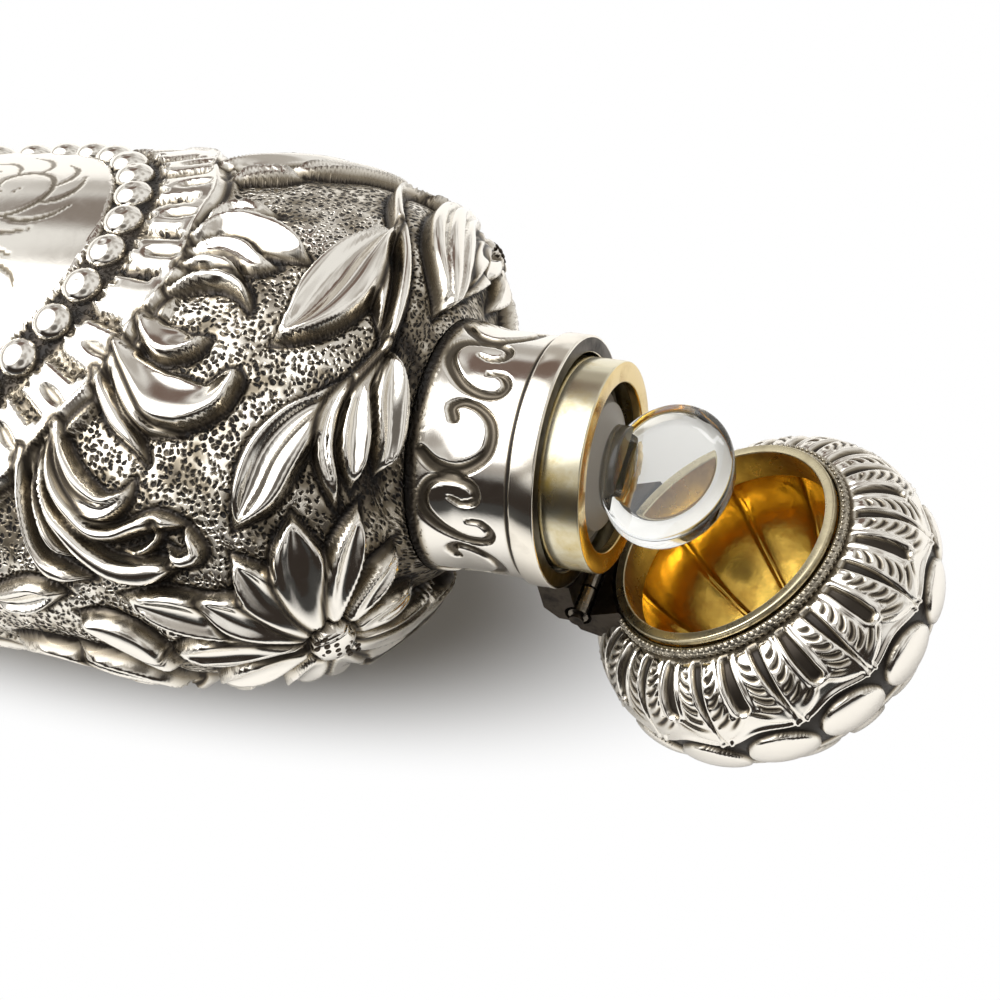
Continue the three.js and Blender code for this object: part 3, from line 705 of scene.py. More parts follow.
def case_half(front):
    """One half of the case as a mesh, its outside chased and its edge turned in at the seam."""
    # Rows lie closest where the case shows in the photograph
    shown, middle, foot = 46, 70, CASE_RUN - 3
    rows = [np.arange(0, shown, 0.215), np.arange(shown, middle, 0.3), np.arange(middle, foot, 0.5)]
    rows = np.concatenate([*rows, np.linspace(foot, CASE_RUN - 0.12, 9)])
    turns = np.linspace(-math.pi / 2, math.pi / 2, 262)
    if not front:
        far = np.linspace(math.pi / 2, math.pi, 80)[:-1] - 2 * math.pi
        turns = np.concatenate([far, np.linspace(-math.pi, -math.pi / 2, 130)])
    turn, along = np.meshgrid(turns, rows)
    relief, across = chase_case(turn.ravel(), along.ravel())
    height, polish, line = (grid.reshape(turn.shape) for grid in (relief.height, relief.polish, relief.line))
    # The relief fades at the neck and at the tip, and the back is drawn in to stay clear of the floor
    root_fade, tip_fade = smooth(along, 0.0, 1.6), smooth(CASE_RUN - along, 0.1, 4.0)
    settle = smooth(-np.cos(turn), 0.1, 0.85) * BACK_DROP
    level = (height - GROUND) * root_fade * tip_fade + GROUND * root_fade - settle * root_fade
    normals = case_normals(turn, along)
    points = case_surface(turn, along) + normals * level[..., None]
    # Dark lies in the dips, in the set-in lines and on the ground of the shoulder
    ground = 1 - polish
    dip = smooth(blurred(height, 12) - height, 0.1, 0.7)
    shoulder = 0.2 * ground * smooth(9 - along, 0, 8)
    dark = np.clip(np.maximum(dip * (0.25 + 0.65 * ground), 0.8 * line) + shoulder, 0, 1)
    count, columns = turn.shape
    pole = case_surface(np.array([0.0]), np.array([CASE_RUN]))
    turned_in = points[:, [0, -1]] - normals[:, [0, -1]] * CASE_WALL
    here = np.arange(count - 1)
    below = here + 1
    lip = count * columns + 1
    left = np.stack([here * columns, below * columns, lip + 2 * below, lip + 2 * here], 1)
    edge = columns - 1
    right = [here * columns + edge, lip + 2 * here + 1, lip + 2 * below + 1, below * columns + edge]
    quads = np.concatenate([sheet_faces(count, columns, wrap=False), left, np.stack(right, 1)])
    faces = [quads, fan_faces(count, columns, wrap=False)]
    extra = np.concatenate([pole, turned_in.reshape(-1, 3)])
    chart = (across.reshape(turn.shape), along)
    name = "case_front" if front else "case_back"
    return skin_mesh(name, points, extra, faces, chart, dark, ground, spare_dark=0.5)


# Finishes; the pits stand this far apart, in mm
PIT_SPACING = 0.5


def silver_finish():
    """Sterling silver, raised, chased, matted with a punch, oxidised and polished back: bright warm tops,
    brown-black in the set-in lines, and a bright web round irregular dark pits on the ground."""
    made, tree = new_material("chased sterling silver")
    dark = add(tree, "Attribute", attribute_name="dark").outputs["Fac"]
    matted = add(tree, "Attribute", attribute_name="matted").outputs["Fac"]
    chart = add(tree, "Attribute", attribute_name="chart").outputs["Vector"]
    place = add(tree, "TexCoord").outputs["Object"]
    # Pits of a punch, set by hand about 0.5 mm apart: chart is in millimetres
    stray = add(tree, "TexNoise", {"Vector": chart, "Scale": 1.1, "Detail": 2.0})
    centred = add(tree, "VectorMath", [stray.outputs["Color"], (0.5, 0.5, 0.5)], operation="SUBTRACT")
    strayed = add(tree, "VectorMath", [centred, (0.9, 0.9, 0.0), chart], operation="MULTIPLY_ADD")
    pits = add(
        tree, "TexVoronoi", {"Vector": strayed, "Scale": 1 / PIT_SPACING, "Randomness": 0.85},
        voronoi_dimensions="2D",
    )
    blow = add(tree, "SeparateColor", [pits.outputs["Color"]])
    reach = add(tree, "MapRange", [blow, 0.0, 1.0, 0.28, 0.47])
    start = add(tree, "Math", [reach, 0.14], operation="SUBTRACT")
    hole = add(tree, "MapRange", [pits, start, reach, 1.0, 0.0], **SOFT)
    bowl = add(tree, "MapRange", [pits, 0.05, 0.55, 0.0, 1.0], **SOFT)
    hole_here = add(tree, "Math", [hole, matted], operation="MULTIPLY")
    strength = add(tree, "MapRange", [blow.outputs[1], 0.0, 1.0, 0.35, 0.9])
    hole_dark = add(tree, "Math", [hole_here, strength], operation="MULTIPLY")
    # Grime that stays in the ground in patches of some millimetres
    worn = add(tree, "TexNoise", {"Vector": place, "Scale": 1 / 0.004, "Detail": 3.0, "Roughness": 0.6})
    grime = add(tree, "MapRange", [worn, 0.42, 0.7, 0.06, 0.62])
    grime_here = add(tree, "Math", [grime, matted], operation="MULTIPLY")
    deep = add(tree, "Math", [dark, hole_dark], operation="MAXIMUM")
    oxide = add(tree, "Math", [deep, grime_here], operation="ADD", use_clamp=True)
    film = add(tree, "ValToRGB", {"Fac": oxide})
    ramp = film.color_ramp
    ramp.elements[0].position, ramp.elements[0].color = 0.0, srgb("#F5F1E9")
    ramp.elements[1].position, ramp.elements[1].color = 1.0, srgb("#181411")
    for position, code in ((0.16, "#DFD9CD"), (0.4, "#8F8574"), (0.68, "#3A332B")):
        ramp.elements.new(position).color = srgb(code)
    metallic = add(tree, "MapRange", [oxide, 0.3, 1.0, 1.0, 0.45])
    scratches = add(
        tree, "TexNoise",
        {"Vector": place, "Scale": 1 / 0.0012, "Detail": 4.0, "Roughness": 0.7, "Distortion": 0.6},
    )
    gloss = add(tree, "MapRange", [scratches, 0.3, 0.8, 0.06, 0.16])
    dull = add(tree, "Math", [oxide, 0.4, gloss], operation="MULTIPLY_ADD")
    duller = add(tree, "Math", [matted, 0.06, dull], operation="MULTIPLY_ADD")
    sunk = add(tree, "Math", [bowl, matted], operation="MULTIPLY")
    pitted = add(tree, "Bump", {"Height": sunk, "Strength": 0.8, "Distance": 0.00016})
    fine = add(tree, "Bump", {"Height": scratches, "Strength": 0.12, "Distance": 0.00004, "Normal": pitted})
    shader = add(
        tree, "BsdfPrincipled",
        {"Base Color": film, "Metallic": metallic, "Roughness": duller, "Normal": fine},
    )
    add(tree, "OutputMaterial", {"Surface": shader})
    return made


def plain_metal(name, colour, stain, gloss, stain_size, stain_share, bump=0.1):
    """A turned and polished metal with stains where it is handled least."""
    made, tree = new_material(name)
    place = add(tree, "TexCoord").outputs["Object"]
    stains = add(
        tree, "TexNoise", {"Vector": place, "Scale": 1 / stain_size, "Detail": 5.0, "Roughness": 0.62},
    )
    share = add(tree, "MapRange", [stains, 0.48, 0.72, 0.0, stain_share])
    tone = add(tree, "Mix", {0: share, 6: srgb(colour), 7: srgb(stain)}, data_type="RGBA")
    rough = add(tree, "MapRange", [stains, 0.35, 0.75, gloss, gloss + 0.16])
    fine = add(tree, "TexNoise", {"Vector": place, "Scale": 1 / 0.0006, "Detail": 3.0})
    relief = add(tree, "Bump", {"Height": fine, "Strength": bump, "Distance": 0.00003})
    shader = add(
        tree, "BsdfPrincipled",
        {"Base Color": tone, "Metallic": 1.0, "Roughness": rough, "Normal": relief},
    )
    add(tree, "OutputMaterial", {"Surface": shader})
    return made


def glass_finish(name, colour, rough, clear):
    """Flint glass, cut and polished, or ground, which scatters the light and looks grey-white; a faint
    unevenness keeps its reflections from being perfect."""
    made, tree = new_material(name)
    place = add(tree, "TexCoord").outputs["Object"]
    drawn = add(tree, "TexNoise", {"Vector": place, "Scale": 1 / 0.006, "Detail": 1.0})
    relief = add(tree, "Bump", {"Height": drawn, "Strength": 0.05, "Distance": 0.0001})
    shader = add(
        tree, "BsdfPrincipled",
        {
            "Base Color": srgb(colour), "Roughness": rough, "IOR": 1.54, "Transmission Weight": clear,
            "Normal": relief,
        },
    )
    add(tree, "OutputMaterial", {"Surface": shader})
    return made


def plaster_finish():
    """Old plaster, grey-brown and crumbly, with green spots of verdigris by the metal."""
    made, tree = new_material("aged plaster with verdigris")
    place = add(tree, "TexCoord").outputs["Object"]
    grain = add(tree, "TexNoise", {"Vector": place, "Scale": 1 / 0.0011, "Detail": 6.0, "Roughness": 0.7})
    spots = add(tree, "TexNoise", {"Vector": place, "Scale": 1 / 0.0028, "Detail": 3.0})
    tone = add(tree, "ValToRGB", {"Fac": grain})
    ramp = tone.color_ramp
    ramp.elements[0].position, ramp.elements[0].color = 0.3, srgb("#3A342B")
    ramp.elements[1].position, ramp.elements[1].color = 0.72, srgb("#A79E8C")
    green = add(tree, "MapRange", [spots, 0.55, 0.66, 0.0, 0.75])
    both = add(tree, "Mix", {0: green, 6: tone, 7: srgb("#4E7A5C")}, data_type="RGBA")
    relief = add(tree, "Bump", {"Height": grain, "Strength": 0.8, "Distance": 0.0003})
    shader = add(tree, "BsdfPrincipled", {"Base Color": both, "Roughness": 0.9, "Normal": relief})
    add(tree, "OutputMaterial", {"Surface": shader})
    return made


silver = silver_finish()
plain_silver = plain_metal("turned silver", "#F3EDE1", "#9A8F80", 0.08, 0.004, 0.5)
oxidised = plain_metal("oxidised silver", "#463E35", "#17130F", 0.34, 0.0014, 0.9, bump=0.5)
worn_silver = plain_metal("worn silver", "#8E867A", "#2E2821", 0.22, 0.0012, 0.9, bump=0.4)
milled_silver = plain_metal("milled silver", "#B8B0A0", "#2A241D", 0.2, 0.0009, 1.0, bump=0.5)
rim_silver = plain_metal("worn gilt silver rim", "#CFC4A4", "#83785C", 0.24, 0.0022, 0.6, bump=0.4)
pale_gilt = plain_metal("pale worn gilding", "#E3DCC2", "#C6AE66", 0.16, 0.0045, 1.0)
face_gilt = plain_metal("worn gilding", "#E2C98C", "#B08A44", 0.16, 0.003, 0.6)
rich_gilt = plain_metal("deep gilding", "#F4CB62", "#B07A28", 0.13, 0.003, 0.6, bump=0.5)
clear_glass = glass_finish("polished flint glass", "#FAFCFB", 0.0, 1.0)
ground_glass = glass_finish("ground flint glass", "#C9C2B6", 0.5, 0.45)
plaster = plaster_finish()

# Case
new_piece("case_front_chased", case_half(True), silver, "flask", ("case_front",))
new_piece("case_back_chased", case_half(False), silver, "flask", ("case_back",))


# Neck: polished, with C-scrolls cut in
NECK_SCROLLS, NECK_LOW, NECK_HIGH, NECK_CUT_DEPTH = 10, ROOT_HEIGHT, -BAND_HEIGHT, 0.36
# Places of two scrolls in turn, one open to the band and one to the case, with their half widths
NECK_MOTIFS = [
    ([(1.6, -7.1), (2.4, -7.4), (2.9, -6.6), (2.6, -5.3), (1.7, -4.2), (0.4, -3.8), (-0.9, -4.1),
      (-1.9, -5.2), (-2.4, -6.6), (-2.1, -8.1), (-1.2, -9.2)],
     (0.5, 0.42, 0.4, 0.46, 0.5, 0.52, 0.52, 0.56, 0.62, 0.6, 0.5)),
    ([(1.5, -6.9), (1.1, -5.8), (1.5, -4.8), (2.5, -4.9), (3.0, -6.0), (3.0, -7.4), (2.5, -8.5),
      (1.4, -9.0), (0.2, -8.8), (-0.9, -8.0), (-1.8, -6.9), (-2.3, -5.4), (-2.1, -4.1), (-1.2, -3.7),
      (-0.4, -4.4), (-0.4, -5.5)],
     (0.16, 0.3, 0.36, 0.42, 0.46, 0.5, 0.5, 0.52, 0.55, 0.52, 0.5, 0.48, 0.44, 0.4, 0.32, 0.16)),
]


def neck_radius(height):
    """The neck's radius, which flares at its foot."""
    return NECK_RADIUS + 0.5 * smooth(-height, 6.6, 10.3)


def neck_skin():
    """The neck as a tube with its outside cut, and its top and bottom turned in."""
    columns, rows = 420, 64
    ends = (NECK_HIGH - 0.05, NECK_LOW + 0.12)
    turns = np.linspace(-math.pi, math.pi, columns, endpoint=False)
    turn, height = np.meshgrid(turns, np.linspace(*ends, rows))
    out = np.stack([-np.cos(turn), np.sin(turn), 0 * turn], -1)
    base = out * neck_radius(height)[..., None] + np.stack([0 * turn, 0 * turn, height], -1)
    relief = Relief(base.reshape(-1, 3), out.reshape(-1, 3), np.zeros(base.size // 3))
    for k in range(NECK_SCROLLS):
        places, widths = NECK_MOTIFS[k % 2]
        line = smooth_line(places, 0.25)
        angle = math.radians(-34) + k * (2 * math.pi / NECK_SCROLLS) + line[:, 0] / NECK_RADIUS
        at = neck_radius(line[:, 1])
        route = np.stack([-np.cos(angle) * at, np.sin(angle) * at, line[:, 1]], 1)
        relief.cut(route, widths, NECK_CUT_DEPTH, 0.6)
    level, cuts = relief.height.reshape(turn.shape), relief.line.reshape(turn.shape)
    foot, joint = smooth(-height, 8.9, 10.2), smooth(height, NECK_HIGH - 0.5, NECK_HIGH - 0.2)
    dark = np.maximum.reduce([cuts, 0.85 * foot, 0.95 * joint])
    inner = [out[0] * (NECK_RADIUS - NECK_WALL) + [0, 0, end] for end in ends]
    c = np.arange(columns)
    d = (c + 1) % columns
    last, high, low = (rows - 1) * columns, rows * columns, (rows + 1) * columns
    top = np.stack([d, c, high + c, high + d], 1)
    bottom = np.stack([last + c, last + d, low + d, low + c], 1)
    inside = np.stack([high + d, high + c, low + c, low + d], 1)
    faces = [np.concatenate([sheet_faces(rows, columns, wrap=True), top, bottom, inside])]
    chart = (turn * NECK_RADIUS, height)
    points = base + out * level[..., None]
    return skin_mesh("neck", points, np.concatenate(inner), faces, chart, dark, 0.5 * foot)


new_piece("neck_cut", neck_skin(), silver, "flask", ("neck_tube",))


# Band, collar, packing and glass, all turned; GAP parts the pieces that stand one in the other
GAP = 0.3


def second_finish(mesh, material, chosen):
    """Gives the faces that chosen(radius, height) picks a second finish."""
    centres = np.zeros(len(mesh.polygons) * 3, np.float32)
    mesh.polygons.foreach_get("center", centres)
    own = (centres.reshape(-1, 3) - LEDGE) @ AXES.T / MM
    mesh.materials.append(material)
    picked = chosen(np.hypot(own[:, 0], own[:, 1]), own[:, 2])
    mesh.polygons.foreach_set("material_index", picked.astype(np.int32))


band_bore = COLLAR_RADIUS + GAP
band = [(band_bore, -BAND_HEIGHT), (BAND_RADIUS, -BAND_HEIGHT), (BAND_RADIUS, 0.0), (band_bore, 0.0)]
band_mesh = lathe(rounded(band, 0.18), 160)
new_piece("band", band_mesh, plain_silver, "flask", ("neck_band",))
second_finish(band_mesh, oxidised, lambda radius, height: (height > -0.04) & (radius < BAND_RADIUS - 0.3))
skirt_bore, under_face = COLLAR_RADIUS - COLLAR_WALL, COLLAR_RISE - COLLAR_FACE
collar = [(skirt_bore, -COLLAR_SKIRT), (COLLAR_RADIUS, -COLLAR_SKIRT), (COLLAR_RADIUS, COLLAR_RISE)]
collar += [(COLLAR_BORE, COLLAR_RISE), (COLLAR_BORE, under_face), (skirt_bore, under_face)]
collar_mesh = lathe(rounded(collar, 0.16), 160)
new_piece("collar", collar_mesh, pale_gilt, "flask", ("gilt_collar",))
face_low, face_bore = COLLAR_RISE - 0.04, COLLAR_BORE + 0.1
second_finish(collar_mesh, face_gilt, lambda radius, height: (height > face_low) | (radius < face_bore))
inner, outer = GLASS_NECK_RADIUS + GAP, skirt_bore - GAP
low, high = GLASS_MOUTH_HEIGHT - 6.8, GLASS_MOUTH_HEIGHT - GAP
packing = [(inner, low), (outer, low), (outer, high), (inner, high)]
new_piece("packing", lathe(rounded(packing, 0.2), 96), plaster, "flask", ("neck_packing",))


def bottle_profile():
    """The glass bottle's closed outline, with the half depth at each of its points."""
    outer_inset = CASE_WALL + 0.6
    inner_inset = outer_inset + GLASS_WALL
    belly = [row for row in OUTLINE[::-1][24::26] if row[0] > 9 and row[1] > 6]
    outer = [(w - outer_inset, d - outer_inset, h) for w, d, h in belly if h < ROOT_HEIGHT - 5]
    inner = [(w - inner_inset, d - inner_inset, h) for w, d, h in belly if h < ROOT_HEIGHT - 7.4]
    tip, ground_end = ROOT_HEIGHT - CASE_LENGTH, GLASS_MOUTH_HEIGHT - GROUND_LENGTH
    whole = [(0, 0, tip + outer_inset), *outer, (8.5, 7.6, ROOT_HEIGHT - 4.6)]
    neck = [(GLASS_NECK_RADIUS, ROOT_HEIGHT - 3.2), (GLASS_NECK_RADIUS, GLASS_MOUTH_HEIGHT)]
    neck += [(GLASS_MOUTH_RADIUS, GLASS_MOUTH_HEIGHT), (GROUND_END_RADIUS, ground_end)]
    neck += [(GROUND_END_RADIUS, ROOT_HEIGHT - 5.6)]
    whole += [(radius, radius, height) for radius, height in neck]
    whole += [(7.0, 6.2, ROOT_HEIGHT - 6.8), *inner[::-1], (0, 0, tip + inner_inset)]
    return [(w, h) for w, _, h in whole], [d for _, d, _ in whole]


profile, depths = bottle_profile()
bottle_mesh = lathe(profile, 72, squash=depths, sharp=50)
new_piece("bottle", bottle_mesh, clear_glass, "flask", ("glass_bottle",))
ground_low = GLASS_MOUTH_HEIGHT - GROUND_LENGTH
second_finish(bottle_mesh, ground_glass, lambda radius, height: (height > ground_low) & (radius < 6.3))


def finial_mesh():
    """The stopper: ground plug, flange, stem and a bevelled oval disc, one body of glass."""
    low, top = GLASS_MOUTH_HEIGHT - GROUND_LENGTH + GAP, GLASS_MOUTH_HEIGHT + GAP
    stem = [(0, low), (GROUND_END_RADIUS - GAP, low), (GLASS_MOUTH_RADIUS - GAP, top)]
    stem += [(STOPPER_FLANGE_RADIUS, top), (STOPPER_FLANGE_RADIUS, top + 0.7)]
    stem += [(STOPPER_STEM_RADIUS, top + 1.4), (STOPPER_STEM_RADIUS, top + 2.6), (0, top + 2.6)]
    half, edge, face = FINIAL_THICKNESS / 2, FINIAL_EDGE / 2, FINIAL_HALF_WIDTH * FINIAL_FACE
    disc = [(0, -half), (face, -half), (FINIAL_HALF_WIDTH, -edge)]
    disc += [(FINIAL_HALF_WIDTH, edge), (face, half), (0, half)]

    def stand(points):
        x, y, z = points[:, 2], -points[:, 1], points[:, 0] * FINIAL_HALF_HEIGHT / FINIAL_HALF_WIDTH
        c, s = math.cos(FINIAL_TURN), math.sin(FINIAL_TURN)
        return to_row(np.stack([x * c - y * s, x * s + y * c, z + FINIAL_CENTRE], 1))

    parts = [lathe(rounded(stem, 0.15), 96), lathe(rounded(disc, 0.35, 5), 128, place=stand)]
    holders = []
    for mesh in parts:
        made = bpy.data.objects.new("stopper_part", mesh)
        bpy.context.scene.collection.objects.link(made)
        holders.append(made)
    join = holders[1].modifiers.new("join", "BOOLEAN")
    join.operation, join.object, join.solver = "UNION", holders[0], "EXACT"
    depsgraph = bpy.context.evaluated_depsgraph_get()
    whole = bpy.data.meshes.new_from_object(holders[1].evaluated_get(depsgraph))
    for made in holders:
        bpy.data.objects.remove(made)
    whole.set_sharp_from_angle(angle=math.radians(35))
    return whole


stopper_mesh = finial_mesh()
new_piece("stopper", stopper_mesh, clear_glass, "stopper", ("glass_stopper",))
ground_high = GLASS_MOUTH_HEIGHT + 1.8
second_finish(stopper_mesh, ground_glass, lambda radius, height: (height < ground_high) & (radius < 5.2))


# Cap, on its own axis
def cap_outline(count=200):
    """Radius and height from the mouth to the crown, with the length along them."""
    belly, middle, radius, start = CAP_BELLY_RADIUS, CAP_BELLY_HEIGHT, CAP_SHELL_RADIUS, CAP_SHELL_START
    low = [(radius, start), (radius + (belly - radius) * 0.7, start + 0.6)]
    low += [(belly, (middle + start) / 2), (belly, middle)]
    high = [(belly, middle), (belly, (middle + CAP_HEIGHT) / 2), (belly * 0.5, CAP_HEIGHT), (0, CAP_HEIGHT)]
    whole = np.concatenate([bezier(low, count)[:-1], bezier(high, count)])
    steps = np.hypot(*np.diff(whole, axis=0).T)
    return whole, np.concatenate([[0], np.cumsum(steps)])


CAP_TWIST = math.radians(9)
LOBE = 2 * math.pi / CAP_LOBES
SLOT_END, DIVIDE_END, LEAFLET_STEP, BOSS_MIDDLE, BOSS_REACH = 5.2, 7.5, 0.93, 10.7, 2.7
TONGUE_MIDDLE, TONGUE_REACH, BUTTON_RADIUS = 18.6, 4.3, 2.5


def cap_relief(turn, along, radius, height):
    """Level and darkness of the cap's outside at a turn and a length from its mouth."""
    leaned = turn + CAP_TWIST * height / CAP_HEIGHT
    number = np.floor((leaned + LOBE / 2) / LOBE)
    q = np.mod(leaned + LOBE / 2, LOBE) / LOBE * 2 - 1
    half = radius * LOBE / 2
    side = np.abs(q)
    away, beside = side * half, (1 - side) * half
    below = smooth(along, 0.0, 0.9)
    # A slot with a round end and a raised rim in the middle of each lobe
    slot_half = 0.4 + 0.2 * smooth(along, 0.2, 3.4)
    end = SLOT_END + 0.25 * np.mod(number * 5, 3) - 0.25
    from_slot = np.hypot(away, np.maximum(along - end + slot_half, 0)) - slot_half
    slot = smooth(-from_slot, -0.04, 0.2) * smooth(along, 0.15, 0.8)
    rim = np.exp(-(((from_slot - 0.17) / 0.17) ** 2)) * below
    # A tapered divide between lobes, with a ridge along each side of it
    divide_half = 0.06 + 0.38 * smooth(DIVIDE_END - 0.3 - along, 0, 6.0)
    divide = smooth(divide_half - beside, -0.05, 0.2) * smooth(along, 0.15, 0.8)
    divide = divide * smooth(DIVIDE_END + 0.4 - along, 0, 0.7)
    ridge = np.exp(-(((beside - divide_half - 0.14) / 0.15) ** 2)) * below
    ridge = ridge * smooth(DIVIDE_END + 0.5 - along, 0, 0.8)
    # Leaflets nicked between slot and divide, longest at the end
    room = np.where(along < end, half - slot_half - 0.42 - divide_half, half - divide_half) - 0.1
    room = np.minimum(room, 2.3 * np.sqrt(np.clip(DIVIDE_END - 0.3 - along, 0, 9)))
    t = (beside - divide_half - 0.2) / np.maximum(room - 0.2, 0.3)
    bow = 1.3 * np.clip(t * (1 - t), 0, 1)
    beat = (along + 0.75 * beside - bow + 0.2 * np.mod(number * 3, 4)) / LEAFLET_STEP
    blade = 0.1 + 0.16 * np.clip(4 * t * (1 - t), 0, 1)
    nick = np.exp(-(((np.mod(beat, 1.0) - 0.5) / blade) ** 2))
    nick *= smooth(t, 0.0, 0.14) * smooth(1.0 - t, 0.0, 0.16)
    nick *= smooth(along, 0.9, 1.5) * smooth(DIVIDE_END - 1.1 - along, 0, 0.8) * (room > 0.45)
    swell = 0.16 * np.sqrt(np.clip(1 - np.clip(2 * t - 1, -1, 1) ** 2, 0, 1)) * below
    level = swell + 0.12 * rim + 0.12 * ridge - 0.16 * nick
    # The border arches over each boss, and its edge stands over a dark groove with a corner at each divide
    arch = DIVIDE_END + 0.45 - 0.75 * np.cos(q * math.pi / 2) ** 2
    lip = np.exp(-(((along - arch + 0.2) / 0.22) ** 2))
    level += 0.16 * lip
    under = smooth(along, arch - 0.02, arch + 0.18)
    reach = np.hypot((along - BOSS_MIDDLE) / BOSS_REACH, q / 0.92)
    boss = 0.05 + 0.5 * np.sqrt(np.clip(1 - reach**2, 0, 1))
    inside = smooth(1.0 - reach, -0.02, 0.06)
    upper = along < BOSS_MIDDLE + BOSS_REACH + 1.0
    gap = under * (1 - inside) * smooth(BOSS_MIDDLE + BOSS_REACH + 0.4 - along, 0, 0.6)
    level = np.where(under > 0, level * (1 - under), level)
    level += (boss - level) * inside * upper
    # A ring of tongues and a button at the crown
    tongue = np.hypot((along - TONGUE_MIDDLE) / TONGUE_REACH, q / 0.86)
    tongue_in = smooth(1.0 - tongue, -0.03, 0.12)
    level += (0.06 + 0.34 * np.sqrt(np.clip(1 - tongue**2, 0, 1)) - level) * tongue_in
    tongue_line = np.exp(-(((tongue - 1.07) / 0.08) ** 2)) * smooth(along, 13.6, 14.2)
    tongue_line = tongue_line * smooth(radius, BUTTON_RADIUS, BUTTON_RADIUS + 0.6)
    button = smooth(BUTTON_RADIUS - 0.2 - radius, 0, 0.4) * (along > 18)
    level = level * (1 - button) + 0.35 * np.sqrt(np.clip(1 - (radius / BUTTON_RADIUS) ** 2, 0, 1)) * button
    ring = np.exp(-(((radius - BUTTON_RADIUS) / 0.2) ** 2)) * (along > 18)
    level -= 0.42 * slot + 0.36 * divide + 0.3 * gap + 0.16 * tongue_line + 0.2 * ring
    edge = smooth(0.5 - along, 0, 0.4)
    darks = [0.72 * slot, 0.85 * divide, 0.8 * nick, 0.88 * gap, 0.7 * tongue_line, 0.8 * ring, 0.5 * edge]
    dark = np.maximum.reduce(darks)
    return level, np.clip(dark, 0, 1)


def in_cap(points):
    """Points on the cap's own axis, in mm, to the row frame in metres."""
    return to_row(cap_to_flask(points))


def cap_skin(outside):
    """The cap's outside with its relief and its turned-in edge, or its gilded inside with a hollow behind
    each lobe."""
    outline, run = cap_outline()
    columns = CAP_LOBES * (52 if outside else 24)
    last = run[-1] - 0.25
    rows = np.linspace(0.2, last, 60)
    if outside:
        # Rows lie closest over the slots and leaflets, then over the bosses
        slots, bosses = 8.6, 14.4
        rows = [[-1.0, -0.75, -0.5, -0.25, -0.1], np.arange(0, slots, 0.125), np.arange(slots, bosses, 0.22)]
        rows = np.concatenate([*rows, np.linspace(bosses, last, 28)])
        turned_in = outline[0] + [(-0.75, 0.35), (-0.5, -0.02)]
        outline, run = np.concatenate([turned_in, outline]), np.concatenate([[-1.0, -0.5], run])
    turn, along = np.meshgrid(np.linspace(-math.pi, math.pi, columns, endpoint=False), rows)
    radius, height = (np.interp(along, run, side) for side in outline.T)
    after, before = along + 0.05, along - 0.05
    out, rise = (np.interp(after, run, side) - np.interp(before, run, side) for side in outline.T)
    length = np.hypot(out, rise)
    normal = np.stack([rise / length * np.cos(turn), rise / length * np.sin(turn), -out / length], -1)
    if outside:
        level, dark = cap_relief(turn, along, radius, height)
        level = level * smooth(along, -0.05, 0.3)
    else:
        q = np.mod(turn + CAP_TWIST * height / CAP_HEIGHT + LOBE / 2, LOBE) / LOBE * 2 - 1
        lobe = np.sqrt(np.clip(1 - q * q, 0, 1)) * smooth(along, 1.5, 6) * smooth(run[-1] - along, 1.0, 9)
        seam = np.exp(-(((1 - np.abs(q)) / 0.07) ** 2)) * smooth(along, 2, 6) * smooth(radius, 1.0, 3.0)
        level, dark = 0.22 * lobe - 0.14 * seam, 1 - lobe
        radius, height = radius - CAP_WALL * rise / length, height + CAP_WALL * out / length
        # Behind the hinge block the lining keeps inside the block's inner face
        near_block = smooth(7.6 - np.abs(radius * np.sin(turn)), 0, 0.5) * (np.cos(turn) > 0)
        near_block = near_block * smooth(4.4 - height, 0, 0.8)
        radius = radius + (np.minimum(radius, 9.5) - radius) * near_block
    base = np.stack([radius * np.cos(turn), radius * np.sin(turn), height], -1)
    crown = [[0.0, 0.0, CAP_HEIGHT + (0.3 if outside else -CAP_WALL)]]
    faces = [sheet_faces(len(rows), columns, wrap=True), fan_faces(len(rows), columns, wrap=True)]
    if not outside:
        faces = [kind[:, ::-1] for kind in faces]
    chart = (turn * CAP_BELLY_RADIUS, along)
    points = base + normal * level[..., None]
    return skin_mesh("cap_skin", points, crown, faces, chart, dark, 0 * dark, spare_dark=0.3, place=in_cap)


new_piece("cap_chased", cap_skin(True), silver, "cap", ("cap_shell",))
new_piece("cap_lining", cap_skin(False), rich_gilt, "cap")
skirt, skirt_end = CAP_MOUTH_RADIUS + 0.4, CAP_RIM_THICKNESS + 2.4
bezel = [(CAP_MOUTH_RADIUS, CAP_REST), (CAP_RIM_RADIUS, CAP_REST), (CAP_RIM_RADIUS, CAP_RIM_THICKNESS)]
bezel += [(skirt, CAP_RIM_THICKNESS), (skirt, skirt_end), (CAP_MOUTH_RADIUS, skirt_end)]
rim_mesh = lathe(rounded(bezel, 0.14), 160, place=in_cap)
new_piece("cap_rim", rim_mesh, rim_silver, "cap", ("cap_bezel",))


# Shapes that repeat: each is a tree of geometry nodes, run once and kept as a plain mesh
def new_tree(name, sizes):
    """A geometry tree with a Geometry input, named sizes and a Material, and its two ends."""
    tree = bpy.data.node_groups.new(name, "GeometryNodeTree")
    tree.interface.new_socket("Geometry", in_out="INPUT", socket_type="NodeSocketGeometry")
    for size, value in sizes.items():
        kind = "NodeSocketInt" if isinstance(value, int) else "NodeSocketFloat"
        tree.interface.new_socket(size, in_out="INPUT", socket_type=kind).default_value = value
    tree.interface.new_socket("Material", in_out="INPUT", socket_type="NodeSocketMaterial")
    tree.interface.new_socket("Geometry", in_out="OUTPUT", socket_type="NodeSocketGeometry")
    return tree, add(tree, "NodeGroupInput"), add(tree, "NodeGroupOutput")


